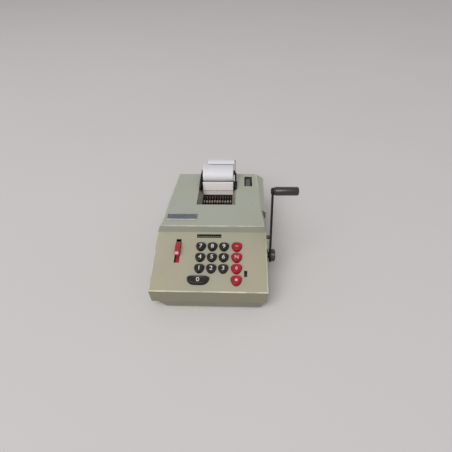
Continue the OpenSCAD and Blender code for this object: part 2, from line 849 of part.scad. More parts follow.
module paper_roll() {
    color("#f2f2f4") difference() {
        bar_x(spindle_at, roll_r, paper_x - paper_w / 2, paper_x + paper_w / 2);
        bar_x(spindle_at, core_r, paper_x - paper_w, paper_x + paper_w);
    }
}

module roll_core() {
    color("#b99a6b") difference() {
        bar_x(spindle_at, core_r, paper_x - paper_w / 2, paper_x + paper_w / 2);
        bar_x(spindle_at, spindle_r + 2 * fit, paper_x - paper_w, paper_x + paper_w);
    }
}

// Spool with two flanges, drawn with its wound ribbon
module ribbon_spool(side) {
    color("#3b3c3e") translate([print_x + side * spool_dx, spool_y, spool_z]) difference() {
        union() {
            cylinder(h = 1.2, r = spool_r);
            translate([0, 0, 1]) cylinder(h = spool_h - 2, r = wound_r);
            translate([0, 0, spool_h - 1.2]) cylinder(h = 1.2, r = spool_r);
        }
        translate([0, 0, -1]) cylinder(h = spool_h + 2, r = post_r + fit);
    }
}

module ribbon_spool_left() {
    ribbon_spool(-1);
}

module ribbon_spool_right() {
    ribbon_spool(1);
}

// Sliding block with rows of stop pins and the column pointer
module pin_carriage() {
    pointer_top = on_plate(window_s - 2.6, -wall - 1.2);
    color("#a7a9ac") difference() {
        union() {
            translate([carriage_x0, carriage_y0, 28]) cube([carriage_w, carriage_y1 - carriage_y0, 16]);
            for (i = [0:5], j = [0:2]) translate([carriage_x0 + 2.5 + 5 * i, carriage_y0 + 3 + 5 * j, 43])
                cylinder(h = 4, r = 0.8, $fn = 16);
            translate([carriage_x0 + carriage_w / 2 - 2, pointer_top[0] - 1.2, 43])
                cube([4, 2, pointer_top[1] - 44]);
        }
        for (at = rail_ats) bar_x(at, rail_r + fit, carriage_x0 - 1, carriage_x0 + carriage_w + 1);
    }
}

// Moves the origin from the front top edge to the middle of the box around the machine
module standing() {
    translate([-origin_x, -origin_y, 0]) children();
}

standing() base_pan();
standing() rubber_feet();
standing() base_screws();
standing() lower_case();
standing() case_screws();
standing() top_cover();
standing() nameplate();
standing() left_frame();
standing() right_frame();
standing() cross_members();
standing() tie_rods();
standing() key_guide_plate();
standing() column_scale();
standing() carriage_rails();
standing() crank_bushing();
standing() crank_stop();
standing() lever_pin();
standing() type_shaft();
standing() platen_cheeks();
standing() roll_arms();
standing() roll_spindle();
standing() paper_guide();
standing() paper_web();
standing() ribbon_brackets();
standing() ribbon();
for (d = [0:9]) standing() key(d, "#262425");
standing() key(10, "#b02334");  // key_total
standing() key(11, "#b02334");  // key_subtotal
standing() key(12, "#b02334");  // key_non_add
standing() key(13, "#b02334");  // key_subtract
standing() repeat_lever();
standing() crank_arm();
standing() crank_shaft();
standing() crank_gear();
standing() hub_cap();
standing() grip_pin();
standing() crank_grip();
standing() main_shaft();
standing() main_gear();
standing() main_cams();
standing() type_sectors();
standing() register_wheels();
standing() platen();
standing() platen_shaft();
standing() feed_thumbwheel();
standing() pressure_roller();
standing() paper_roll();
standing() roll_core();
standing() ribbon_spool_left();
standing() ribbon_spool_right();
standing() pin_carriage();
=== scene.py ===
import json
import math
import random
from functools import partial

import bmesh
import bpy
from mathutils import Matrix, Vector


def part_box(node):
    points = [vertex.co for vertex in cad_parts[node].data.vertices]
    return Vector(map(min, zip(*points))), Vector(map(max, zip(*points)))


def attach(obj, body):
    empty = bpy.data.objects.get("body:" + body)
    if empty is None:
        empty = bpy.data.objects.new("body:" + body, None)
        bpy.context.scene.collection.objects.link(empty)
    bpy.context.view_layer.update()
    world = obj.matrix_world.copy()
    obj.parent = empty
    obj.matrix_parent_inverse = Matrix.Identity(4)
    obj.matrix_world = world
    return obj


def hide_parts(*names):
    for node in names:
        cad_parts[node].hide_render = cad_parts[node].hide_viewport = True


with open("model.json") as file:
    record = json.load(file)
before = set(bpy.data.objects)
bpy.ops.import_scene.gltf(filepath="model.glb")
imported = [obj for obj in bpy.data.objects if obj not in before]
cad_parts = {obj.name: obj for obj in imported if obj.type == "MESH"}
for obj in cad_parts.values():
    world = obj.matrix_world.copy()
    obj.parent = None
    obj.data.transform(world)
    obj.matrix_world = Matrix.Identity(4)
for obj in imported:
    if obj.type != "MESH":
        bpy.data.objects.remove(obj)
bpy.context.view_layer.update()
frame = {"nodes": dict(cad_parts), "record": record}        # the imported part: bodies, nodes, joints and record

scene = bpy.context.scene
mm = 0.001


# Places: X from the middle of the case, Y from its front, Z from the table, all in mm
caseLow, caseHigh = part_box("lower_case")
caseMiddle = (caseLow.x + caseHigh.x) / 2
caseFront = caseLow.y
plate = {"slopeDeg": 15, "frontZ": 46}   # keyboard plate


def place(x, y, z):
    return Vector((caseMiddle + x * mm, caseFront + y * mm, z * mm))


# x across, s up the slope, t out of the plate
def onPlate(x, s, t):
    a = math.radians(plate["slopeDeg"])
    return place(x, s * math.cos(a) - t * math.sin(a), plate["frontZ"] + s * math.sin(a) + t * math.cos(a))


def middleOf(node):
    low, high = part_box(node)
    return (low + high) / 2


# Point on the middle line of the red lever, s up the plate, t out of it
def onLever(s, t):
    spot = onPlate(0, s, t)
    return (middleOf("repeat_lever").x, spot.y, spot.z)


# Linear colour from a hex code
def hexColor(code):
    channels = [int(code[i:i + 2], 16) / 255 for i in (1, 3, 5)]
    return (*[c / 12.92 if c <= 0.04045 else ((c + 0.055) / 1.055) ** 2.4 for c in channels], 1.0)


# Inputs go by name or number: in Map Range 1 and 2 are from, 3 and 4 to; in Mix 6 and 7 are colours
def addNode(tree, kind, inputs=None, links=None, **settings):
    node = tree.nodes.new(kind)
    for name, value in settings.items():
        setattr(node, name, value)
    for key, value in (inputs or {}).items():
        node.inputs[key].default_value = value
    for key, source in (links or {}).items():
        tree.links.new(source, node.inputs[key])
    return node


def perMetre(sizeMm):
    return 1 / (sizeMm * mm)     # texture scale for a pattern of that size


# A new material with what adds a node to it, and the object's own coordinates
def newMaterial(name, shaderInputs, specular=0.5):
    material = bpy.data.materials.new(name)
    material.use_nodes = True
    shader = material.node_tree.nodes["Principled BSDF"]
    shader.inputs["Specular IOR Level"].default_value = specular
    for key, value in shaderInputs.items():
        shader.inputs[key].default_value = value
    add = partial(addNode, material.node_tree)
    return material, add, add("ShaderNodeTexCoord").outputs["Object"]


# The material with its last nodes linked to its shader
def shaded(material, links):
    tree = material.node_tree
    for key, source in links.items():
        tree.links.new(source, tree.nodes["Principled BSDF"].inputs[key])
    return material


print("materials")


# Stoved enamel on steel sheet: satin, faint orange peel, uneven tint from age, paler along the edges where
# rubbed and as a painted highlight, and painted shade on faces given a share of it
def stovedEnamel(name, look):
    material, add, coords = newMaterial(name, {"Coat Weight": 0.06, "Coat Roughness": 0.35})
    tint = add("ShaderNodeTexNoise", {"Scale": perMetre(70), "Detail": 3.0, "Roughness": 0.6},
               {"Vector": coords})
    tintRamp = add("ShaderNodeMapRange", {1: 0.38, 2: 0.66}, {0: tint.outputs["Fac"]})
    aged = add("ShaderNodeMix", {6: hexColor(look["color"]), 7: hexColor(look["aged"])},
               {0: tintRamp.outputs[0]}, data_type="RGBA")
    cloud = add("ShaderNodeTexNoise", {"Scale": perMetre(22), "Detail": 5.0, "Roughness": 0.65},
                {"Vector": coords})
    cloudRamp = add("ShaderNodeMapRange", {1: 0.45, 2: 0.75, 4: 0.6}, {0: cloud.outputs["Fac"]})
    clouded = add("ShaderNodeMix", {7: hexColor(look["cloud"])},
                  {0: cloudRamp.outputs[0], 6: aged.outputs[2]}, data_type="RGBA")
    speck = add("ShaderNodeTexVoronoi", {"Scale": perMetre(11)}, {"Vector": coords})
    speckRamp = add("ShaderNodeMapRange", {1: 0.045, 2: 0.03, 3: 0.0, 4: 0.5},
                    {0: speck.outputs["Distance"]})
    specked = add("ShaderNodeMix", {7: hexColor(look["dirtAndShade"])},
                  {0: speckRamp.outputs[0], 6: clouded.outputs[2]}, data_type="RGBA")
    for x, y, radiusMm in look.get("chips", []):
        spot = place(x, y, 0)
        flat = add("ShaderNodeMapping", {"Scale": (1, 1, 0)}, {"Vector": coords})
        far = add("ShaderNodeVectorMath", {1: (spot.x, spot.y, 0)}, {0: flat.outputs[0]},
                  operation="DISTANCE")
        bareAndGlint = add("ShaderNodeMapRange", {1: radiusMm * mm, 2: radiusMm * mm * 0.6, 3: 0.0, 4: 0.9},
                   {0: far.outputs["Value"]})
        specked = add("ShaderNodeMix", {7: hexColor(look["dirtAndShade"])},
                      {0: bareAndGlint.outputs[0], 6: specked.outputs[2]}, data_type="RGBA")
    edge = add("ShaderNodeAttribute", attribute_name="edge")     # 1 on the rounded edges
    # paler edges: rubbed paint, and a painted highlight along the rounded edges
    rub = add("ShaderNodeTexNoise", {"Scale": perMetre(14), "Detail": 4.0}, {"Vector": coords})
    rubAndHighlightRamp = add("ShaderNodeMapRange", {1: 0.3, 2: 0.62, 3: 0.25}, {0: rub.outputs["Fac"]})
    rubbedAndHighlight = add("ShaderNodeMath", {}, {0: edge.outputs["Fac"], 1: rubAndHighlightRamp.outputs[0]},
                 operation="MULTIPLY")
    rust = add("ShaderNodeTexNoise", {"Scale": perMetre(26), "Detail": 3.0}, {"Vector": coords})
    rustRamp = add("ShaderNodeMapRange", {1: 0.56, 2: 0.66, 4: 0.7}, {0: rust.outputs["Fac"]})
    wornAndLit = add("ShaderNodeMix", {6: hexColor(look["rubbedAndHighlight"]), 7: hexColor(look["rust"])},
               {0: rustRamp.outputs[0]}, data_type="RGBA")
    edged = add("ShaderNodeMix", {},
                {0: rubbedAndHighlight.outputs[0], 6: specked.outputs[2], 7: wornAndLit.outputs[2]}, data_type="RGBA")
    grime = add("ShaderNodeAttribute", attribute_name="grime")     # share of painted shade given to each face
    shadePainted = add("ShaderNodeMix", {7: hexColor(look["dirtAndShade"])},
                 {0: grime.outputs["Fac"], 6: edged.outputs[2]}, data_type="RGBA")
    gloss = add("ShaderNodeMapRange", {3: 0.5, 4: 0.6}, {0: cloud.outputs["Fac"]})
    peel = add("ShaderNodeTexNoise", {"Scale": perMetre(1.6), "Detail": 2.0}, {"Vector": coords})
    sheet = add("ShaderNodeTexNoise", {"Scale": perMetre(48), "Detail": 1.0}, {"Vector": coords})
    wavy = add("ShaderNodeBump", {"Strength": 0.5, "Distance": 0.5 * mm},
               {"Height": sheet.outputs["Fac"]})     # sheet metal is never quite flat
    bump = add("ShaderNodeBump", {"Strength": 0.22, "Distance": 0.06 * mm},
               {"Height": peel.outputs["Fac"], "Normal": wavy.outputs[0]})
    return shaded(material, {"Base Color": shadePainted.outputs[2], "Roughness": gloss.outputs[0],
                             "Normal": bump.outputs[0]})


# Metal with fine lines left by rolling, grinding or turning, stretched along one axis
def linedMetal(name, look):
    material, add, coords = newMaterial(name, {"Metallic": 1.0})
    mapping = add("ShaderNodeMapping", {"Scale": look["stretch"]}, {"Vector": coords})
    lines = add("ShaderNodeTexNoise", {"Scale": perMetre(look["lineMm"]), "Detail": 4.0},
                {"Vector": mapping.outputs[0]})
    stain = add("ShaderNodeTexNoise", {"Scale": perMetre(12), "Detail": 4.0, "Roughness": 0.7},
                {"Vector": coords})
    stainRamp = add("ShaderNodeMapRange", {1: 0.42, 2: 0.72}, {0: stain.outputs["Fac"]})
    color = add("ShaderNodeMix", {6: hexColor(look["color"]), 7: hexColor(look["stain"])},
                {0: stainRamp.outputs[0]}, data_type="RGBA")
    rough = add("ShaderNodeMapRange", {3: look["roughness"] - 0.08, 4: look["roughness"] + 0.14},
                {0: lines.outputs["Fac"]})
    bump = add("ShaderNodeBump", {"Strength": 0.25, "Distance": 0.03 * mm},
               {"Height": lines.outputs["Fac"]})
    return shaded(material, {"Base Color": color.outputs[2], "Roughness": rough.outputs[0],
                             "Normal": bump.outputs[0]})


# Moulded or brushed-on coat over a dark or coloured body: plastic, bakelite, rubber, black enamel
def mouldedFinish(name, look):
    material, add, coords = newMaterial(name, look.get("shader", {}), look.get("specular", 0.5))
    cloud = add("ShaderNodeTexNoise", {"Scale": perMetre(look["cloudMm"]), "Detail": 4.0},
                {"Vector": coords})
    cloudRamp = add("ShaderNodeMapRange", {1: 0.35, 2: 0.7}, {0: cloud.outputs["Fac"]})
    color = add("ShaderNodeMix", {6: hexColor(look["color"]), 7: hexColor(look["second"])},
                {0: cloudRamp.outputs[0]}, data_type="RGBA")
    edge = add("ShaderNodeAttribute", attribute_name="edge")
    # bare colour along the edges: real chips, and on the lever and hub cap also a painted highlight
    chip = add("ShaderNodeTexNoise", {"Scale": perMetre(2.5), "Detail": 3.0}, {"Vector": coords})
    chipRamp = add("ShaderNodeMapRange", {1: 0.5, 2: 0.62, 4: look.get("wearAndGlint", 0.0)},
                   {0: chip.outputs["Fac"]})
    wornAndLit = add("ShaderNodeMath", {}, {0: edge.outputs["Fac"], 1: chipRamp.outputs[0]},
               operation="MULTIPLY")
    # painted highlight: a pale spot round one point, the lever's glint
    if "glintAt" in look:
        radius = look["glintMm"] * mm
        far = add("ShaderNodeVectorMath", {1: look["glintAt"]}, {0: coords}, operation="DISTANCE")
        spot = add("ShaderNodeMapRange", {1: radius, 2: radius * 0.6, 3: 0.0, 4: 0.85},
                   {0: far.outputs["Value"]})
        wornAndLit = add("ShaderNodeMath", {}, {0: wornAndLit.outputs[0], 1: spot.outputs[0]}, operation="MAXIMUM")
    final = add("ShaderNodeMix", {7: hexColor(look.get("bareAndGlint", look["second"]))},
                {0: wornAndLit.outputs[0], 6: color.outputs[2]}, data_type="RGBA")
    smear = add("ShaderNodeTexNoise", {"Scale": perMetre(look.get("smearMm", 5)), "Detail": 3.0,
                "Distortion": 0.6}, {"Vector": coords})
    rough = add("ShaderNodeMapRange", {3: look["roughness"] - 0.06, 4: look["roughness"] + 0.12},
                {0: smear.outputs["Fac"]})
    grain = add("ShaderNodeTexNoise", {"Scale": perMetre(look["grainMm"]), "Detail": 2.0},
                {"Vector": coords})
    bump = add("ShaderNodeBump", {"Strength": look["bump"], "Distance": 0.05 * mm},
               {"Height": grain.outputs["Fac"]})
    return shaded(material, {"Base Color": final.outputs[2], "Roughness": rough.outputs[0],
                             "Normal": bump.outputs[0]})


# Uncoated paper: soft fibre cloudiness, matt, a little light passes through
def uncoatedPaper(name, look):
    material, add, coords = newMaterial(name, {
        "Roughness": 0.9, "Specular IOR Level": 0.25, "Sheen Weight": 0.1,
        "Subsurface Weight": look["scatter"], "Subsurface Radius": (1, 1, 1), "Subsurface Scale": 5 * mm})
    cloud = add("ShaderNodeTexNoise", {"Scale": perMetre(look["cloudMm"]), "Detail": 6.0,
                "Roughness": 0.7}, {"Vector": coords})
    color = add("ShaderNodeMix", {6: hexColor(look["color"]), 7: hexColor(look["second"])},
                {0: cloud.outputs["Fac"]}, data_type="RGBA")
    if "shadedTop" in look:     # painted shade: greyer towards the top
        height = add("ShaderNodeSeparateXYZ", {}, {0: coords})
        topShade = add("ShaderNodeMapRange", {1: look["shadeFrom"] * mm, 2: look["shadeTo"] * mm},
                   {0: height.outputs["Z"]})
        color = add("ShaderNodeMix", {7: hexColor(look["shadedTop"])},
                    {0: topShade.outputs[0], 6: color.outputs[2]}, data_type="RGBA")
    fibre = add("ShaderNodeTexNoise", {"Scale": perMetre(0.7), "Detail": 3.0}, {"Vector": coords})
    bump = add("ShaderNodeBump", {"Strength": 0.2, "Distance": 0.04 * mm},
               {"Height": fibre.outputs["Fac"]})
    return shaded(material, {"Base Color": color.outputs[2], "Normal": bump.outputs[0]})


# Inked cotton ribbon: plain weave, drawn much coarser than its real threads so that it shows
def inkedCotton(name):
    material, add, coords = newMaterial(name, {"Sheen Weight": 0.3, "Roughness": 0.85})
    across = add("ShaderNodeTexWave", {"Scale": perMetre(0.5) / 6.28}, {"Vector": coords},
                 wave_type="BANDS", bands_direction="X")
    along = add("ShaderNodeTexWave", {"Scale": perMetre(0.5) / 6.28}, {"Vector": coords},
                wave_type="BANDS", bands_direction="Z")
    weave = add("ShaderNodeMath", {}, {0: across.outputs["Fac"], 1: along.outputs["Fac"]},
                operation="MULTIPLY")
    color = add("ShaderNodeMix", {6: hexColor("#17151b"), 7: hexColor("#2d2a33")},
                {0: weave.outputs[0]}, data_type="RGBA")
    bump = add("ShaderNodeBump", {"Strength": 0.6, "Distance": 0.1 * mm}, {"Height": weave.outputs[0]})
    return shaded(material, {"Base Color": color.outputs[2], "Normal": bump.outputs[0]})


# Clear celluloid strip, faintly tinted and scuffed
def clearCelluloid(name, look):
    material, add, coords = newMaterial(name, {"Base Color": hexColor(look["color"]), "Coat Weight": 0.3})
    scuff = add("ShaderNodeTexNoise", {"Scale": perMetre(3), "Detail": 5.0}, {"Vector": coords})
    rough = add("ShaderNodeMapRange", {1: 0.4, 2: 0.8, 3: 0.15, 4: 0.35}, {0: scuff.outputs["Fac"]})
    haze = add("ShaderNodeMapRange", {1: 0.35, 2: 0.75, 3: look["haze"], 4: look["haze"] * 1.6},
               {0: scuff.outputs["Fac"]})
    return shaded(material, {"Roughness": rough.outputs[0], "Alpha": haze.outputs[0]})


# dirt colours the specks and chips, and also the painted shade
# rubbed colours the edges: rubbed paint and a painted highlight
enamelLook = {
    "case": {"color": "#a6a590", "aged": "#aba48d", "cloud": "#a3a08d", "dirtAndShade": "#6d6a58",
             "rubbedAndHighlight": "#d6d3bb", "rust": "#a88d74"},
    "cover": {"color": "#a7ab9f", "aged": "#a9a998", "cloud": "#a2a8a0", "dirtAndShade": "#57523c",
              "rubbedAndHighlight": "#d0d2bf", "rust": "#b3b19c",
              "chips": [(69.8, 168, 1.0), (72.5, 172.5, 0.5)]},     # x, y, radius in mm
    "tray": {"color": "#7f7c71", "aged": "#858173", "cloud": "#7a776d", "dirtAndShade": "#4b4940",
             "rubbedAndHighlight": "#a09c8b", "rust": "#8a7462"},
}
materials = {
    "case_paint": stovedEnamel("stovedEnamelCase", enamelLook["case"]),
    "cover_paint": stovedEnamel("stovedEnamelCover", enamelLook["cover"]),
    "tray_paint": stovedEnamel("stovedEnamelTray", enamelLook["tray"]),
    # pale metal brushed along its length
    "nameplate_metal": linedMetal("brushedAluminium", {
        "color": "#b4b6ba", "stain": "#96999f", "roughness": 0.34, "lineMm": 0.35, "stretch": (0.04, 1, 1)}),
    # small bright heads, a little dulled
    "screw_steel": linedMetal("nickelPlatedSteel", {
        "color": "#c9c8c4", "stain": "#9a968c", "roughness": 0.3, "lineMm": 0.6, "stretch": (1, 1, 1)}),
    # even, rather dull grey
    "frame_steel": linedMetal("zincPlatedSheet", {
        "color": "#a9abad", "stain": "#86888a", "roughness": 0.42, "lineMm": 0.8, "stretch": (1, 0.15, 1)}),
    # smooth, with fine rings round the bar
    "shaft_steel": linedMetal("groundSteelBar", {
        "color": "#b9b9b8", "stain": "#8f8d88", "roughness": 0.26, "lineMm": 0.4, "stretch": (1, 0.1, 0.1)}),
    # dull yellow with lathe rings
    "gear_brass": linedMetal("machinedBrass", {
        "color": "#b79f62", "stain": "#8d7a4c", "roughness": 0.32, "lineMm": 0.5, "stretch": (1, 0.3, 0.3)}),
    # nearly black, low sheen
    "blackened": mouldedFinish("blackenedSteel", {
        "color": "#1d1715", "second": "#2a2220", "roughness": 0.5, "cloudMm": 4, "grainMm": 0.8,
        "bump": 0.15, "specular": 0.25}),
    # dull and grainy
    "rubber_black": mouldedFinish("mouldedRubber", {
        "color": "#201f1e", "second": "#2d2b29", "roughness": 0.72, "cloudMm": 8, "grainMm": 0.6,
        "bump": 0.4}),
    # half-glossy black, chipped to grey along the edges
    "black_paint": mouldedFinish("blackEnamel", {
        "color": "#130f0e", "second": "#1b1615", "roughness": 0.4, "cloudMm": 14, "grainMm": 1.4,
        "bump": 0.12, "wearAndGlint": 0.35, "bareAndGlint": "#57504a", "specular": 0.22}),
    # glossy dark brown, pale along the edges: worn to metal, and a painted highlight
    "hub_grey": mouldedFinish("wornBrownEnamel", {
        "color": "#2a221f", "second": "#352c28", "roughness": 0.22, "cloudMm": 5, "grainMm": 0.9,
        "bump": 0.2, "wearAndGlint": 0.9, "bareAndGlint": "#a0958c",
        "shader": {"Coat Weight": 0.35, "Coat Roughness": 0.12}}),
    # dull brown
    "stop_brown": mouldedFinish("hardRubber", {
        "color": "#4a3a28", "second": "#5a4833", "roughness": 0.6, "cloudMm": 4, "grainMm": 0.5,
        "bump": 0.3}),
    # deep black with small sharp highlights
    "key_black": mouldedFinish("polishedPhenolicBlack", {
        "color": "#161212", "second": "#1f1a1a", "roughness": 0.2, "cloudMm": 7, "grainMm": 0.8,
        "bump": 0.08, "specular": 0.45}),
    # full red with softer highlights
    "key_red": mouldedFinish("polishedPhenolicRed", {
        "color": "#9c1928", "second": "#ab2231", "roughness": 0.3, "cloudMm": 6, "grainMm": 0.8,
        "bump": 0.08, "specular": 0.3}),
    # glossy red, with a pale painted glint on the front top corner and a fainter painted highlight along the
    # edges
    "lever_red": mouldedFinish("wornRedPlastic", {
        "color": "#a01a29", "second": "#b02434", "roughness": 0.2, "cloudMm": 5, "grainMm": 0.8,
        "bump": 0.08, "wearAndGlint": 0.25, "bareAndGlint": "#e0a5a1", "glintAt": onLever(61.7, 7.4), "glintMm": 3.6,
        "specular": 0.5}),
    # steel under dried ink: blackish, with little shine
    "type_steel": mouldedFinish("inkedSteel", {
        "color": "#191412", "second": "#2b2320", "roughness": 0.45, "cloudMm": 3, "grainMm": 0.8,
        "bump": 0.3, "shader": {"Metallic": 0.4}}),
    # smooth dark brown under a clear gloss
    "grip_dark": mouldedFinish("brownBakelite", {
        "color": "#1f1716", "second": "#291a19", "roughness": 0.24, "smearMm": 40, "cloudMm": 9,
        "grainMm": 1.2, "bump": 0.03, "shader": {"Coat Weight": 0.5, "Coat Roughness": 0.1}}),
    # flat mid grey
    "wheel_grey": mouldedFinish("mouldedGreyPlastic", {
        "color": "#4b494b", "second": "#5a585a", "roughness": 0.5, "cloudMm": 6, "grainMm": 0.7,
        "bump": 0.25}),
    # dark grey, half matt
    "spool_metal": mouldedFinish("darkPaintedTin", {
        "color": "#2e2f31", "second": "#3c3d3f", "roughness": 0.4, "cloudMm": 6, "grainMm": 1.0,
        "bump": 0.15}),
    # bluish white, with painted shade greyer on top
    "paper_white": uncoatedPaper("uncoatedPaper", {
        "color": "#f6f5f6", "second": "#eceaee", "cloudMm": 9, "scatter": 0.9, "shadedTop": "#cfced4",
        "shadeFrom": 108, "shadeTo": 119}),
    # brown and fibrous
    "core_card": uncoatedPaper("woundCard", {
        "color": "#b39a72", "second": "#9c845d", "cloudMm": 3, "scatter": 0}),
    "ribbon_ink": inkedCotton("inkedCotton"),
    "guide_clear": clearCelluloid("clearCelluloid", {"color": "#e2d8cc", "haze": 0.06}),
}
# white plastic of the numerals, half matt
inlayLook = {"color": "#f1eee8", "second": "#d8d3ca", "roughness": 0.35, "cloudMm": 2, "grainMm": 0.6,
             "bump": 0.1}
whiteInlay = mouldedFinish("whiteInlay", inlayLook)
# the same, pinker from wear on the red keys
pinkInlay = mouldedFinish("wornWhiteInlay", {**inlayLook, "color": "#f0cfcb", "second": "#e2aaa9"})
# matt grey-blue: the nameplate's panel, and painted shade on the plate's walls
blueEnamelAndEdgeShade = mouldedFinish("darkBlueEnamel", {
    "color": "#545a65", "second": "#6d7075", "roughness": 0.5, "cloudMm": 5, "grainMm": 0.8, "bump": 0.15})
# the roll's paper drawn greyer: painted shade on the loose turn
loosePaper = uncoatedPaper("loosePaper", {
    "color": "#e1dfe4", "second": "#d8d6dc", "cloudMm": 9, "scatter": 0})
# warmer white
creamPaper = uncoatedPaper("yellowedPaper", {
    "color": "#fdf8f4", "second": "#f8f1ec", "cloudMm": 7, "scatter": 0})
# the strip's cut top edge, drawn darker and less clear as painted shade
cutEdgeShade = clearCelluloid("celluloidCutEdge", {"color": "#8c7873", "haze": 0.6})
# dull green-grey
paleTeeth = mouldedFinish("paleEnamelTeeth", {
    "color": "#7a7864", "second": "#625f50", "roughness": 0.5, "cloudMm": 3, "grainMm": 0.8, "bump": 0.2})
# pale, rubbed clean by the paper
wornSlugs = linedMetal("wornTypeMetal", {
    "color": "#bcb1a6", "stain": "#776d65", "roughness": 0.42, "lineMm": 0.4, "stretch": (1, 0.4, 1)})
# brownish, under a film of ink
dimSlugs = linedMetal("inkedTypeMetal", {
    "color": "#8d7d76", "stain": "#4a3f3b", "roughness": 0.45, "lineMm": 0.4, "stretch": (1, 0.4, 1)})
slotOf = {part["node"]: part["material_slot"] for part in frame["record"]["subparts"]}
ownFinish = {"grip_pin": "blackened", "crank_shaft": "blackened", "roll_spindle": "blackened",
             "repeat_lever": "lever_red"}


def finishOf(node):
    return materials[ownFinish.get(node, slotOf[node])]


for nodeName, nodeObject in frame["nodes"].items():
    nodeObject.data.materials.clear()
    nodeObject.data.materials.append(finishOf(nodeName))


# Smooth mesh object from rows of points, numbered row by row
def meshObject(name, rows, faces, *finishes):
    mesh = bpy.data.meshes.new(name)
    mesh.from_pydata([tuple(point) for row in rows for point in row], [], faces)
    obj = bpy.data.objects.new(name, mesh)
    scene.collection.objects.link(obj)
    for finish in finishes:
        mesh.materials.append(finish)
    cleanNormals(obj)
    return obj


# Doubled points merged and faces turned outwards
def cleanNormals(obj, smooth=True):
    work = bmesh.new()
    work.from_mesh(obj.data)
    bmesh.ops.remove_doubles(work, verts=work.verts, dist=0.002 * mm)
    bmesh.ops.recalc_face_normals(work, faces=work.faces)
    for face in work.faces:
        face.smooth = smooth
    work.to_mesh(obj.data)
    work.free()


# One object from several; each keeps its own materials
def joined(name, parts):
    bpy.ops.object.select_all(action="DESELECT")
    for part in parts:
        part.select_set(True)
    bpy.context.view_layer.objects.active = parts[0]
    bpy.ops.object.join()
    parts[0].name = name
    parts[0].data.name = name
    return parts[0]


# Faces between rings of equal length, as vertex numbers, with both ends capped
def loft(rings, closed=True):
    n = len(rings[0])
    faces = []
    for r in range(len(rings) - 1):
        for i in range(n):
            j = (i + 1) % n
            faces.append((r * n + i, r * n + j, (r + 1) * n + j, (r + 1) * n + i))
    if closed:
        faces.append(tuple(range(n - 1, -1, -1)))
        faces.append(tuple((len(rings) - 1) * n + i for i in range(n)))
    return faces


# Solid of revolution about X through middle; profile holds (x, radius) in mm from the middle
def latheX(name, middle, profile, finish, steps=96, bored=False):
    rings = []
    for x, radius in profile + (profile[:1] if bored else []):
        rings.append([Vector((x * mm, radius * mm * math.cos(2 * math.pi * k / steps),
                              radius * mm * math.sin(2 * math.pi * k / steps))) + middle
                      for k in range(steps)])
    return meshObject(name, rings, loft(rings, closed=not bored), finish)


# The piece rides on a node's body with its finish, and stands for the node or only adds to it
def finishPiece(obj, node, standsFor=True):
    bodies = frame["record"]["behaviour"]["bodies"]
    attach(obj, next(body for body, nodes in bodies.items() if node in nodes))
    if standsFor:
        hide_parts(node)


# How much of the full radius an edge gets: none along the seam, little around openings and below
def edgeShare(edge, look):
    ends = [v.co for v in edge.verts]
    share = 1 if edge.calc_length() > look.get("longMm", 0) * mm else look["shortShare"]
    if "innerX" in look and edge.calc_length() < look["innerMm"] * mm:
        if all(abs(v.x - caseMiddle) < look["innerX"] * mm for v in ends):
            share = min(share, look["innerShare"])
    if "lowMm" in look and min(v.z for v in ends) < look["lowMm"] * mm:
        share = min(share, look["lowShare"])
    if look.get("seam") and all(abs(v.z - seamHeight(v.y)) < 1 * mm for v in ends):
        share = 0
    return share


# Height of the seam between case and cover at a place along the machine
def seamHeight(y):
    along = (y - caseFront - seam["y0"] * mm) / (seam["y1"] * mm - seam["y0"] * mm)
    return (seam["z0"] + along * (seam["z1"] - seam["z0"])) * mm


# The CAD node's shape with its flat faces whole again and its outer edges rounded
def roundedCopy(node, look):
    mesh = frame["nodes"][node].data.copy()
    obj = bpy.data.objects.new(node + "_rounded", mesh)
    scene.collection.objects.link(obj)
    work = bmesh.new()
    work.from_mesh(mesh)
    bmesh.ops.remove_doubles(work, verts=work.verts, dist=0.01 * mm)
    bmesh.ops.dissolve_limit(work, angle_limit=math.radians(0.6), verts=work.verts, edges=work.edges)
    work.normal_update()
    weights = work.edges.layers.float.new("bevel_weight_edge")
    for edge in work.edges:
        turn = edge.calc_face_angle(0)
        edge.smooth = turn < math.radians(look.get("smoothDeg", 22))
        if turn > math.radians(look.get("angleDeg", 15)) and edge.is_convex:
            edge[weights] = edgeShare(edge, look)
    for face in work.faces:
        face.smooth = True
        face.material_index = 0
    work.to_mesh(mesh)
    work.free()
    mesh.materials.clear()
    mesh.materials.append(finishOf(node))
    mesh.materials.append(finishOf(node))
    bevel = obj.modifiers.new("roundedEdges", "BEVEL")
    bevel.width = look["radiusMm"] * mm
    bevel.segments = 3
    bevel.limit_method = "WEIGHT"
    bevel.use_clamp_overlap = look.get("clamp", True)
    bevel.harden_normals = True
    bevel.material = 1     # so that the new faces can be told from the old ones
    obj.data = bakedMesh(obj, obj.name)
    edgeLayer = obj.data.attributes.new("edge", "FLOAT", "FACE")
    shadeLayer = obj.data.attributes.new("grime", "FLOAT", "FACE")
    for polygon in obj.data.polygons:
        edgeLayer.data[polygon.index].value = polygon.material_index
        shadeLayer.data[polygon.index].value = grimeOf(polygon, look.get("grime", []))
        polygon.material_index = 0
    obj.data.materials.pop(index=1)
    print("  %s: %d faces" % (node, len(obj.data.polygons)))
    finishPiece(obj, node)


# Share of painted shade on a steep face whose middle lies in one of the boxes: x0, x1, y0, y1, z0, z1 in mm,
# share
def grimeOf(polygon, regions):
    for x0, x1, y0, y1, z0, z1, share in regions:
        low, high = place(x0, y0, z0), place(x1, y1, z1)
        if all(low[i] <= polygon.center[i] <= high[i] for i in range(3)) and polygon.normal.z < 0.8:
            return share
    return 0.0


# The object's mesh with its modifiers applied; the modifiers go
def bakedMesh(obj, name):
    graph = bpy.context.evaluated_depsgraph_get()
    mesh = bpy.data.meshes.new_from_object(obj.evaluated_get(graph))
    obj.modifiers.clear()
    mesh.name = name
    return mesh


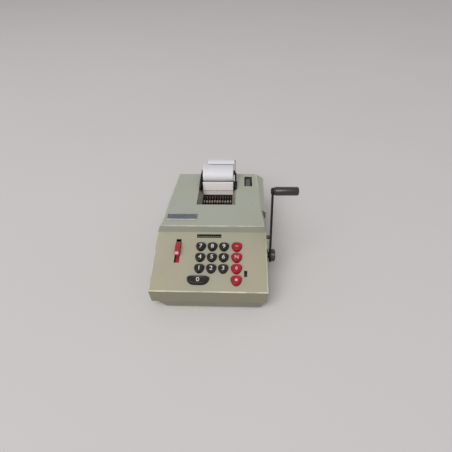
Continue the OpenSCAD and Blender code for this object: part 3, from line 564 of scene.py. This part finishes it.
print("casing and rounded pieces")
seam = {"y0": 105, "z0": 74.13, "y1": 263.99, "z1": 53.7}     # from the foot of the lip to the rear
# The grime boxes are painted shade: the front skirt, the paper well's walls, the step on the cover's right side
# and the lip are drawn darker
rounding = {
    "lower_case": {"radiusMm": 1.4, "longMm": 25, "lowMm": 17, "lowShare": 0.4, "shortShare": 0.0,
                   "innerX": 80, "innerMm": 100, "innerShare": 0, "smoothDeg": 14, "clamp": False,
                   "seam": True, "grime": [(-95, 95, -2, 6, 8, 44.4, 0.592)]},
    "top_cover": {"radiusMm": 1.5, "longMm": 14, "shortShare": 0.0, "angleDeg": 7, "smoothDeg": 3,
                  "innerX": 74, "innerMm": 100, "innerShare": 0.25, "clamp": False, "seam": True,
                  "grime": [(-32, 42, 160, 263, 60, 92, 0.496), (86, 94, 148, 152, 50, 95, 0.8),
                            (-95, 95, 98, 114, 60, 92, 0.32)]},
    "base_pan": {"radiusMm": 0.7, "longMm": 30, "shortShare": 0.0, "smoothDeg": 14, "clamp": False},
    "platen_cheeks": {"radiusMm": 0.5, "smoothDeg": 14},
    "roll_arms": {"radiusMm": 0.25, "smoothDeg": 14},
    "crank_arm": {"radiusMm": 0.7, "longMm": 20, "shortShare": 0.9, "angleDeg": 40},
    "crank_bushing": {"radiusMm": 0.5, "angleDeg": 40},
    "crank_stop": {"radiusMm": 0.8, "angleDeg": 40},
    "hub_cap": {"radiusMm": 0.5, "angleDeg": 40},
    "repeat_lever": {"radiusMm": 0.8, "angleDeg": 12},
    "case_screws": {"radiusMm": 0.35, "angleDeg": 40},
    "base_screws": {"radiusMm": 0.2, "angleDeg": 40},
    "rubber_feet": {"radiusMm": 0.5, "angleDeg": 40},
    "feed_thumbwheel": {"radiusMm": 0.5, "angleDeg": 40},
    "type_sectors": {"radiusMm": 0.3, "longMm": 3, "shortShare": 0.5, "angleDeg": 40},
}
for node, look in rounding.items():
    roundedCopy(node, look)


print("keys")
keyLook = {
    "leftX": -16, "pitchX": 19, "frontS": 19, "pitchS": 20, "redX": 43,
    "digit": {"width": 16.4, "length": 15.2, "roundness": 0.8, "taper": 0.3},
    "zeroX": -16.6,
    "zero": {"width": 35, "length": 14.4, "roundness": 0.42, "taper": 0.2},
    "red": {"width": 17.4, "length": 16.6, "roundness": 0.8, "taper": 0.3},
    "evenAt": 0.3, "endRoundness": 0.85, "top": 5.5, "dish": 0.9, "rim": 0.84, "steps": 96,
    "side": [(-3, 0.35), (-2.65, 0.05), (-1.5, 0), (1.8, 0.3), (4, 0.75), (4.8, 1), (5.28, 1.35),
             (5.48, 1.8)],     # height, how far the outline is drawn in
    "hollowInset": 2.15, "hollowRings": 8, "hollowEase": 0.8,
    "stemTop": -3, "stemEnd": -20, "stemRadius": 2, "stemChamfer": 0.4, "stemSteps": 24,
    "collarRadius": 3.4, "collarTop": -16.3, "collar": 1.5,
    "glyphHeight": 7.0, "redGlyphHeight": 5.74, "glyphWide": 1.1, "glyphProud": 0.06, "glyphDeep": 0.4,
}


# Point on a key's outline: a rounded oblong, wider at the back than at the front
def capPoint(shape, angle, scale, shrink):
    halfWide = (shape["width"] / 2 - shrink) * scale
    halfLong = (shape["length"] / 2 - shrink) * scale
    c, s = math.cos(angle), math.sin(angle)
    x = halfWide * math.copysign(abs(c) ** shape["roundness"], c)
    y = halfLong * math.copysign(abs(s) ** keyLook["endRoundness"], s)
    return x * (1 + shape["taper"] * (s - keyLook["evenAt"])), y     # plain width where s is evenAt


# Height of the hollowed key top at a point, in mm
def dishHeight(shape, x, y):
    inner = keyLook["rim"]
    far = math.hypot(x / (shape["width"] / 2 * inner), y / (shape["length"] / 2 * inner))
    return keyLook["top"] - keyLook["dish"] * max(0, 1 - far ** 2)


# Rings up a key's side and on into its hollow
def capRings(shape, x0, s0):
    look = keyLook
    rings = [[onPlate(x0 + x, s0 + y, t) for x, y in ringOutline(shape, 1, shrink)]
             for t, shrink in look["side"]]
    for k in range(1, look["hollowRings"]):
        scale = (1 - k / look["hollowRings"]) ** look["hollowEase"]
        ring = ringOutline(shape, scale, look["hollowInset"])
        rings.append([onPlate(x0 + x, s0 + y, dishHeight(shape, x, y)) for x, y in ring])
    return rings


def ringOutline(shape, scale, shrink):
    steps = keyLook["steps"]
    return [capPoint(shape, 2 * math.pi * k / steps, scale, shrink) for k in range(steps)]


def stemParts(x0, s0, finish):
    look = keyLook
    end, radius, chamfer = look["stemEnd"], look["stemRadius"], look["stemChamfer"]
    stem = [(look["stemTop"], radius), (end + chamfer, radius), (end, radius - chamfer)]
    collar = [(look["collarTop"] - look["collar"], look["collarRadius"]),
              (look["collarTop"], look["collarRadius"])]
    angles = [2 * math.pi * k / look["stemSteps"] for k in range(look["stemSteps"])]
    parts = []
    for name, rows in (("stem", stem), ("collar", collar)):
        rings = [[onPlate(x0 + r * math.cos(a), s0 + r * math.sin(a), t) for a in angles] for t, r in rows]
        parts.append(meshObject(name, rings, loft(rings), finish))
    return parts


# Flat mesh of one numeral, centred, one unit high
def glyphFaces(text):
    curve = bpy.data.curves.new("glyph", "FONT")
    curve.body = text
    curve.resolution_u = 5
    holder = bpy.data.objects.new("glyph", curve)
    scene.collection.objects.link(holder)
    graph = bpy.context.evaluated_depsgraph_get()
    mesh = bpy.data.meshes.new_from_object(holder.evaluated_get(graph))
    bpy.data.objects.remove(holder)
    xs = [v.co.x for v in mesh.vertices]
    ys = [v.co.y for v in mesh.vertices]
    high = max(ys) - min(ys)
    wide = keyLook["glyphWide"]
    points = [((v.co.x - (max(xs) + min(xs)) / 2) / high * wide, (v.co.y - (max(ys) + min(ys)) / 2) / high)
              for v in mesh.vertices]
    return points, [tuple(p.vertices) for p in mesh.polygons]


# Flat mesh of straight bars, each (x0, y0, x1, y1, width), one unit high
def bars(shapes):
    points = []
    faces = []
    for x0, y0, x1, y1, width in shapes:
        along = Vector((x1 - x0, y1 - y0)).normalized() * width / 2
        side = Vector((-along.y, along.x))
        start = len(points)
        points += [tuple(Vector((x0, y0)) - along + side), tuple(Vector((x0, y0)) - along - side),
                   tuple(Vector((x1, y1)) + along - side), tuple(Vector((x1, y1)) + along + side)]
        faces.append((start, start + 1, start + 2, start + 3))
    return points, faces


# Three bars crossed in the middle
def starBars(reach, width):
    tips = [(reach * math.cos(a), reach * math.sin(a)) for a in (math.pi / 2, math.pi / 6, -math.pi / 6)]
    return [(-x, -y, x, y, width) for x, y in tips]


redGlyphs = {
    "key_total": bars(starBars(0.36, 0.17)),
    "key_subtotal": bars([(0, 0.44, 0.28, 0, 0.15), (0.28, 0, 0, -0.44, 0.15), (0, -0.44, -0.28, 0, 0.15),
                          (-0.28, 0, 0, 0.44, 0.15)]),
    "key_non_add": glyphFaces("N"),
    "key_subtract": bars([(-0.28, 0, 0.28, 0, 0.18)]),
}


# Numeral let into the key top, following its hollow
def inlay(glyph, shape, x0, s0, heightMm, finish):
    points, faces = glyph
    top = []
    low = []
    for u, v in points:
        x, y = u * heightMm, v * heightMm
        t = dishHeight(shape, x, y)
        top.append(onPlate(x0 + x, s0 + y, t + keyLook["glyphProud"]))
        low.append(onPlate(x0 + x, s0 + y, t - keyLook["glyphDeep"]))
    n = len(points)
    edges = dict.fromkeys((f[i], f[(i + 1) % len(f)]) for f in faces for i in range(len(f)))
    solid = faces + [tuple(i + n for i in reversed(f)) for f in faces]
    solid += [(b, a, a + n, b + n) for a, b in edges if (b, a) not in edges]     # walls round the outline
    obj = meshObject("inlay", [top, low], solid, finish)
    cleanNormals(obj, smooth=False)
    return obj


def makeKey(node, shape, x0, s0, glyph, bodyFinish, glyphFinish, heightMm):
    rings = capRings(shape, x0, s0)
    cap = meshObject("cap", rings, loft(rings), bodyFinish)
    key = joined(node + "_cap", [cap, *stemParts(x0, s0, bodyFinish),
                                 inlay(glyph, shape, x0, s0, heightMm, glyphFinish)])
    finishPiece(key, node)


for digit in range(10):
    shape = keyLook["digit"] if digit else keyLook["zero"]
    x0 = keyLook["leftX"] + (digit - 1) % 3 * keyLook["pitchX"] if digit else keyLook["zeroX"]
    s0 = keyLook["frontS"] + (digit + 2) // 3 * keyLook["pitchS"]
    makeKey("key_%d" % digit, shape, x0, s0, glyphFaces(str(digit)), materials["key_black"], whiteInlay,
            keyLook["glyphHeight"])
for row, (node, glyph) in enumerate(redGlyphs.items()):
    makeKey(node, keyLook["red"], keyLook["redX"], keyLook["frontS"] + row * keyLook["pitchS"], glyph,
            materials["key_red"], pinkInlay, keyLook["redGlyphHeight"])


print("crank grip")
gripLook = {"length": 38.5,
            "profile": [(0, 2), (0, 6.2), (0.4, 6.6), (1.6, 6.6), (1.9, 6.2), (2.3, 6.2), (2.6, 6.85),
                        (2.9, 6.9), (35.6, 6.9), (36.7, 6.7), (37.6, 6.1), (38.2, 5.1), (38.5, 3.9),
                        (38.5, 1.2)]}     # along the grip from the arm, radius
gripProfile = [(x - gripLook["length"] / 2, radius) for x, radius in gripLook["profile"]]
grip = latheX("crank_grip_turned", middleOf("crank_grip"), gripProfile, materials["grip_dark"])
finishPiece(grip, "crank_grip")


print("nameplate")
plateLook = {"x0": -78.5, "y0": 123, "width": 52, "depth": 16, "corner": 1.4, "cornerSteps": 6,
             "leastCorner": 0.3, "coverZ": 85.584, "slopeDeg": 2.231,
             "layers": [(0, 0, 0.0), (0, 0, 0.95), (0.25, 0, 1.2), (0.7, 1.9, 1.2),
                        (0.9, 1.9, 0.9)]}     # inset, foot, height


# u across, v up the cover, h out of it, from the nameplate's front left corner
def onCover(u, v, h):
    a = math.radians(plateLook["slopeDeg"])
    return place(plateLook["x0"] + u, plateLook["y0"] + v * math.cos(a) - h * math.sin(a),
                 plateLook["coverZ"] + v * math.sin(a) + h * math.cos(a))


def roundedOutline(inset, foot):
    look = plateLook
    corner = max(look["corner"] - inset, look["leastCorner"])
    points = []
    for cx, cy, first in ((1, 1, 0), (0, 1, 90), (0, 0, 180), (1, 0, 270)):
        x = inset + corner + cx * (look["width"] - 2 * inset - 2 * corner)
        y = inset + foot + corner + cy * (look["depth"] - 2 * inset - foot - 2 * corner)
        for k in range(look["cornerSteps"] + 1):
            a = math.radians(first + 90 * k / look["cornerSteps"])
            points.append((x + corner * math.cos(a), y + corner * math.sin(a)))
    return points


rings = [[onCover(u, v, h) for u, v in roundedOutline(inset, foot)]
         for inset, foot, h in plateLook["layers"]]
badge = meshObject("nameplate_rim", rings, loft(rings), materials["nameplate_metal"], blueEnamelAndEdgeShade)
cleanNormals(badge, smooth=False)
for polygon in badge.data.polygons:
    if abs(polygon.normal.z) < 0.3 or (len(polygon.vertices) > 10 and polygon.normal.z > 0.5):
        polygon.material_index = 1     # blue panel, walls dark as painted shade, bright rim
finishPiece(badge, "nameplate")


# Geometry Nodes tree that repeats one piece along a line, each raised or lowered by a small random amount
def repeatTree():
    tree = bpy.data.node_groups.new("repeatPiece", "GeometryNodeTree")
    tree.interface.new_socket(name="Geometry", in_out="OUTPUT", socket_type="NodeSocketGeometry")
    for name, kind in (("Piece", "Object"), ("Count", "Int"), ("Start", "Vector"), ("Step", "Vector"),
                       ("Jitter", "Float"), ("Seed", "Int"), ("Finish", "Material")):
        tree.interface.new_socket(name=name, in_out="INPUT", socket_type="NodeSocket" + kind)
    add = partial(addNode, tree)
    given = add("NodeGroupInput").outputs
    index = add("GeometryNodeInputIndex").outputs[0]
    line = add("ShaderNodeVectorMath", {}, {0: index, 1: given["Step"], 2: given["Start"]},
               operation="MULTIPLY_ADD")
    low = add("ShaderNodeMath", {1: -1.0}, {0: given["Jitter"]}, operation="MULTIPLY")
    lift = add("FunctionNodeRandomValue", {}, {2: low.outputs[0], 3: given["Jitter"],
               "Seed": given["Seed"]}, data_type="FLOAT")
    raised = add("ShaderNodeCombineXYZ", {}, {2: lift.outputs[1]})
    spot = add("ShaderNodeVectorMath", {}, {0: line.outputs[0], 1: raised.outputs[0]}, operation="ADD")
    points = add("GeometryNodePoints", {}, {"Count": given["Count"], "Position": spot.outputs[0]})
    piece = add("GeometryNodeObjectInfo", {}, {"Object": given["Piece"]})
    copies = add("GeometryNodeInstanceOnPoints", {}, {"Points": points.outputs[0],
                 "Instance": piece.outputs["Geometry"]})
    real = add("GeometryNodeRealizeInstances", {}, {"Geometry": copies.outputs[0]})
    done = add("GeometryNodeSetMaterial", {}, {"Geometry": real.outputs[0], "Material": given["Finish"]})
    add("NodeGroupOutput", {}, {0: done.outputs[0]})
    return tree


repeater = repeatTree()


# Copies of a small piece in a row, as one plain mesh object; the single piece goes
def repeated(name, piece, values):
    mesh = bpy.data.meshes.new(name)
    obj = bpy.data.objects.new(name, mesh)
    scene.collection.objects.link(obj)
    modifier = obj.modifiers.new("repeat", "NODES")
    modifier.node_group = repeater
    for item in repeater.interface.items_tree:
        if item.in_out == "INPUT":
            modifier[item.identifier] = piece if item.name == "Piece" else values[item.name]
    obj.data = bakedMesh(obj, name)
    bpy.data.objects.remove(piece)
    for polygon in obj.data.polygons:
        polygon.use_smooth = False
    return obj


# Block with softened edges, its middle at the origin, size in mm
def smallBlock(name, size, softMm, turnDeg=0):
    mesh = bpy.data.meshes.new(name)
    work = bmesh.new()
    bmesh.ops.create_cube(work, size=1)
    bmesh.ops.scale(work, vec=Vector(size) * mm, verts=work.verts)
    bmesh.ops.bevel(work, geom=list(work.edges), offset=softMm * mm, segments=2, affect="EDGES",
                    clamp_overlap=True)
    bmesh.ops.rotate(work, matrix=Matrix.Rotation(math.radians(turnDeg), 3, "X"), verts=work.verts)
    work.to_mesh(mesh)
    work.free()
    obj = bpy.data.objects.new(name, mesh)
    scene.collection.objects.link(obj)
    return obj


print("type slugs and column teeth")
typeLook = {"count": 11, "firstX": -21, "pitch": 5, "topZ": 68.5,
            "front": {"y": 199, "size": (3.0, 6.6, 1.7)}, "rear": {"y": 212, "size": (1.7, 7.2, 1.4)},
            "soft": 0.5, "jitter": 0.25}
for row, finish in (("front", wornSlugs), ("rear", dimSlugs)):
    look = typeLook[row]
    block = smallBlock("slug", look["size"], typeLook["soft"])
    slugs = repeated("type_slugs_" + row, block, {
        "Count": typeLook["count"], "Start": place(typeLook["firstX"], look["y"], typeLook["topZ"]),
        "Step": Vector((typeLook["pitch"] * mm, 0, 0)), "Jitter": typeLook["jitter"] * mm, "Seed": 7,
        "Finish": finish})
    finishPiece(slugs, "type_sectors", standsFor=False)
toothLook = {"count": 11, "windowX": -3.7, "firstX": -18, "pitch": 3.6, "s": 101.4, "t": -3.3,
             "size": (2.7, 2.6, 1.0), "soft": 0.3, "jitter": 0.08}
tooth = smallBlock("tooth", toothLook["size"], toothLook["soft"], plate["slopeDeg"])
firstTooth = onPlate(toothLook["windowX"] + toothLook["firstX"], toothLook["s"], toothLook["t"])
teeth = repeated("column_teeth", tooth, {
    "Count": toothLook["count"], "Start": firstTooth, "Step": Vector((toothLook["pitch"] * mm, 0, 0)),
    "Jitter": toothLook["jitter"] * mm, "Seed": 3, "Finish": paleTeeth})
finishPiece(teeth, "column_scale", standsFor=False)


print("paper")
paperLook = {"middleX": 4.6, "width": 58, "sheet": 0.12, "rollRadius": 18, "boreRadius": 7,
             "layers": 18, "uneven": 0.25, "spindle": (248, 102), "platen": (235, 65), "platenRadius": 13,
             "gap": 0.15, "halfSheet": 0.15, "endAt": (222.3, 97.6), "toothDepth": 0.45, "columns": 72,
             "roundSteps": 28, "riseSteps": 16}     # halfSheet is half the strip's thickness in CAD
flapLook = {"fromDeg": -20, "toDeg": 91, "steps": 48, "clear": 0.1, "lift": 7.4, "liftedDeg": 50,
            "inset": 0.3, "tearMm": 9.8, "endTearMm": 8.6, "skew": 2.6, "drop": 6.0, "sheet": 0.12,
            "columns": 24}


def around(middle, radius, degrees):
    a = math.radians(degrees)
    return middle[0] + radius * math.cos(a), middle[1] + radius * math.sin(a)


# Thin sheet from rows of points, thickened along its own normal
def sheetSolid(name, rows, thicknessMm, finish):
    n = len(rows[0])
    faces = [(r * n + i, r * n + i + 1, (r + 1) * n + i + 1, (r + 1) * n + i)
             for r in range(len(rows) - 1) for i in range(n - 1)]
    obj = meshObject(name, rows, faces, finish)
    solid = obj.modifiers.new("thickness", "SOLIDIFY")
    solid.thickness = thicknessMm * mm
    solid.offset = 0
    obj.data = bakedMesh(obj, name)
    return obj


# Outline of the wound roll: its layers end a little unevenly
def rollProfile():
    look = paperLook
    half = look["width"] / 2
    chance = random.Random(11)
    layer = (look["rollRadius"] - look["boreRadius"] - 0.4) / look["layers"]
    radii = [look["boreRadius"] + 0.1 + k * layer for k in range(look["layers"] + 1)]
    left = [(-half + chance.uniform(0, look["uneven"]), radius) for radius in radii]
    right = [(half - chance.uniform(0, look["uneven"]), radius) for radius in reversed(radii)]
    edge = [(-half + 0.1, look["rollRadius"] - 0.05), (-half + 0.5, look["rollRadius"])]     # soft corner
    return left + edge + [(-x, radius) for x, radius in reversed(edge)] + right


spindleAt = place(paperLook["middleX"], *paperLook["spindle"])
roll = latheX("paper_roll_wound", spindleAt, rollProfile(), materials["paper_white"], steps=128, bored=True)


# Loose outer turn: it rises off the roll, then comes down to its torn free end
def flapRows():
    look = flapLook
    rows = []
    for k in range(look["steps"] + 1):
        share = k / look["steps"]
        degrees = look["fromDeg"] + share * (look["toDeg"] - look["fromDeg"])
        rise = min(1, (degrees - look["fromDeg"]) / (look["liftedDeg"] - look["fromDeg"]))
        eased = rise ** 2 * (3 - 2 * rise)
        beyond = max(0, degrees - look["liftedDeg"]) / (look["toDeg"] - look["liftedDeg"])
        radius = paperLook["rollRadius"] + look["clear"] + look["lift"] * eased - look["drop"] * beyond ** 2
        y, z = around(paperLook["spindle"], radius, degrees)
        torn = look["tearMm"] * rise ** 2 + (look["endTearMm"] - look["tearMm"]) * beyond
        x0 = paperLook["middleX"] - paperLook["width"] / 2 + look["inset"] + torn
        x1 = paperLook["middleX"] + paperLook["width"] / 2 + look["skew"] * share
        rows.append([place(x0 + (x1 - x0) * i / look["columns"], y, z) for i in range(look["columns"] + 1)])
    return rows


flap = sheetSolid("paper_flap", flapRows(), flapLook["sheet"], loosePaper)
roll = joined("paper_roll_wound", [roll, flap])
finishPiece(roll, "paper_roll")


# Way of the paper from the roll round the platen and up to its torn end, as (y, z)
def webPath():
    look = paperLook
    overY = look["spindle"][0] - look["platen"][0]
    overZ = look["spindle"][1] - look["platen"][1]
    lean = math.degrees(math.atan2(overZ, overY))
    drop = look["platenRadius"] - look["rollRadius"] - 2 * look["gap"]
    leave = lean - math.degrees(math.acos(drop / math.hypot(overY, overZ)))     # where it leaves the roll
    off = look["gap"] + look["halfSheet"]
    radius = look["platenRadius"] + off
    path = [around(look["spindle"], look["rollRadius"] + off, leave)]
    for k in range(look["roundSteps"] + 1):
        path.append(around(look["platen"], radius, leave - k * (180 + leave) / look["roundSteps"]))
    startY = look["platen"][0] - radius
    for k in range(1, look["riseSteps"] + 1):
        rise = k / look["riseSteps"]
        path.append((startY + (look["endAt"][0] - startY) * rise ** 2,
                     look["platen"][1] + (look["endAt"][1] - look["platen"][1]) * rise))
    return path


rows = []
for y, z in webPath():
    rows.append([place(paperLook["middleX"] + paperLook["width"] * (i / paperLook["columns"] - 0.5), y, z)
                 for i in range(paperLook["columns"] + 1)])
for i, point in enumerate(rows[-1]):
    point.z -= paperLook["toothDepth"] * mm * (i % 2)     # torn along the small teeth of the guide
web = sheetSolid("paper_strip", rows, paperLook["sheet"], creamPaper)
finishPiece(web, "paper_web")

guideLook = {"x0": -29.5, "width": 67, "y": 220, "thick": 1.2, "z0": 70, "z1": 79.6, "pitch": 1.5,
             "tooth": 0.5}
count = int(guideLook["width"] / guideLook["pitch"] * 2)
rows = [[], [], [], []]
for i in range(count + 1):
    x = guideLook["x0"] + guideLook["width"] * i / count
    top = guideLook["z1"] - guideLook["tooth"] * (i % 2)
    rows[0].append(place(x, guideLook["y"], guideLook["z0"]))
    rows[1].append(place(x, guideLook["y"], top))
    rows[2].append(place(x, guideLook["y"] + guideLook["thick"], top))
    rows[3].append(place(x, guideLook["y"] + guideLook["thick"], guideLook["z0"]))
n = count + 1
faces = [(r * n + i, r * n + i + 1, ((r + 1) % 4) * n + i + 1, ((r + 1) % 4) * n + i)
         for r in range(4) for i in range(count)]
faces += [(0, n, 2 * n, 3 * n), (n - 1, 4 * n - 1, 3 * n - 1, 2 * n - 1)]
guide = meshObject("paper_guide_strip", rows, faces, materials["guide_clear"], cutEdgeShade)
cleanNormals(guide, smooth=False)
# the top faces take the darker edge material, which is painted shade
for polygon in guide.data.polygons:
    polygon.material_index = int(polygon.normal.z > 0.3)
finishPiece(guide, "paper_guide")


print("stage and camera")
stageLook = {"floorSize": 16, "floorColor": "#cfcccb", "floorSecond": "#d4d0cf", "skyColor": "#ffffff",
             "skyStrength": 0.42, "softboxPower": 212, "softboxSize": 4.5,
             "softboxPlace": (-1.5, -3.2, 4.3)}     # sizes and place in metres
cameraLook = {"place": (27.66, -460.39, 461.8), "headingDeg": 3.42, "downDeg": 40.79, "rollDeg": -1.74,
              "lensMm": 27.363}
floorMesh = bpy.data.meshes.new("floor")
half = stageLook["floorSize"] / 2
corners = [(-half, -half, 0), (half, -half, 0), (half, half, 0), (-half, half, 0)]
floorMesh.from_pydata(corners, [], [(0, 1, 2, 3)])
floor = bpy.data.objects.new("floor", floorMesh)
scene.collection.objects.link(floor)
table, addToTable, tableCoords = newMaterial("paleTable", {"Roughness": 0.8})
tone = addToTable("ShaderNodeTexNoise", {"Scale": perMetre(400), "Detail": 2.0}, {"Vector": tableCoords})
tableColor = addToTable("ShaderNodeMix", {6: hexColor(stageLook["floorColor"]),
                        7: hexColor(stageLook["floorSecond"])}, {0: tone.outputs["Fac"]}, data_type="RGBA")
floorMesh.materials.append(shaded(table, {"Base Color": tableColor.outputs[2]}))

world = bpy.data.worlds.new("softSky")
world.use_nodes = True
skyTree = world.node_tree
sky = skyTree.nodes["Background"]
sky.inputs["Color"].default_value = hexColor(stageLook["skyColor"])
sky.inputs["Strength"].default_value = stageLook["skyStrength"]
backdrop = addNode(skyTree, "ShaderNodeBackground", {"Color": hexColor(stageLook["floorColor"])})
rays = addNode(skyTree, "ShaderNodeLightPath").outputs
seen = addNode(skyTree, "ShaderNodeMath", {}, {0: rays["Is Camera Ray"], 1: rays["Is Glossy Ray"]},
               operation="MAXIMUM")
seenToo = addNode(skyTree, "ShaderNodeMath", {}, {0: seen.outputs[0], 1: rays["Is Transmission Ray"]},
                  operation="MAXIMUM")
shown = addNode(skyTree, "ShaderNodeMixShader", {},
                {0: seenToo.outputs[0], 1: sky.outputs[0], 2: backdrop.outputs[0]})
skyTree.links.new(shown.outputs[0], skyTree.nodes["World Output"].inputs["Surface"])
scene.world = world

softbox = bpy.data.lights.new("softbox", "AREA")
softbox.energy = stageLook["softboxPower"]
softbox.size = stageLook["softboxSize"]
softboxObject = bpy.data.objects.new("softbox", softbox)
softboxObject.location = stageLook["softboxPlace"]
softboxObject.rotation_euler = (-Vector(stageLook["softboxPlace"])).to_track_quat("-Z", "Y").to_euler()
scene.collection.objects.link(softboxObject)

camera = bpy.data.cameras.new("camera")
camera.lens = cameraLook["lensMm"]
camera.sensor_width = 36
camera.clip_end = 30
cameraObject = bpy.data.objects.new("camera", camera)
turn = (Matrix.Rotation(math.radians(cameraLook["headingDeg"]), 4, "Z")
        @ Matrix.Rotation(math.radians(90 - cameraLook["downDeg"]), 4, "X")
        @ Matrix.Rotation(math.radians(cameraLook["rollDeg"]), 4, "Z"))
cameraObject.matrix_world = Matrix.Translation(Vector(cameraLook["place"]) * mm) @ turn
scene.collection.objects.link(cameraObject)
scene.camera = cameraObject
scene.view_settings.view_transform = "Standard"

print("done")
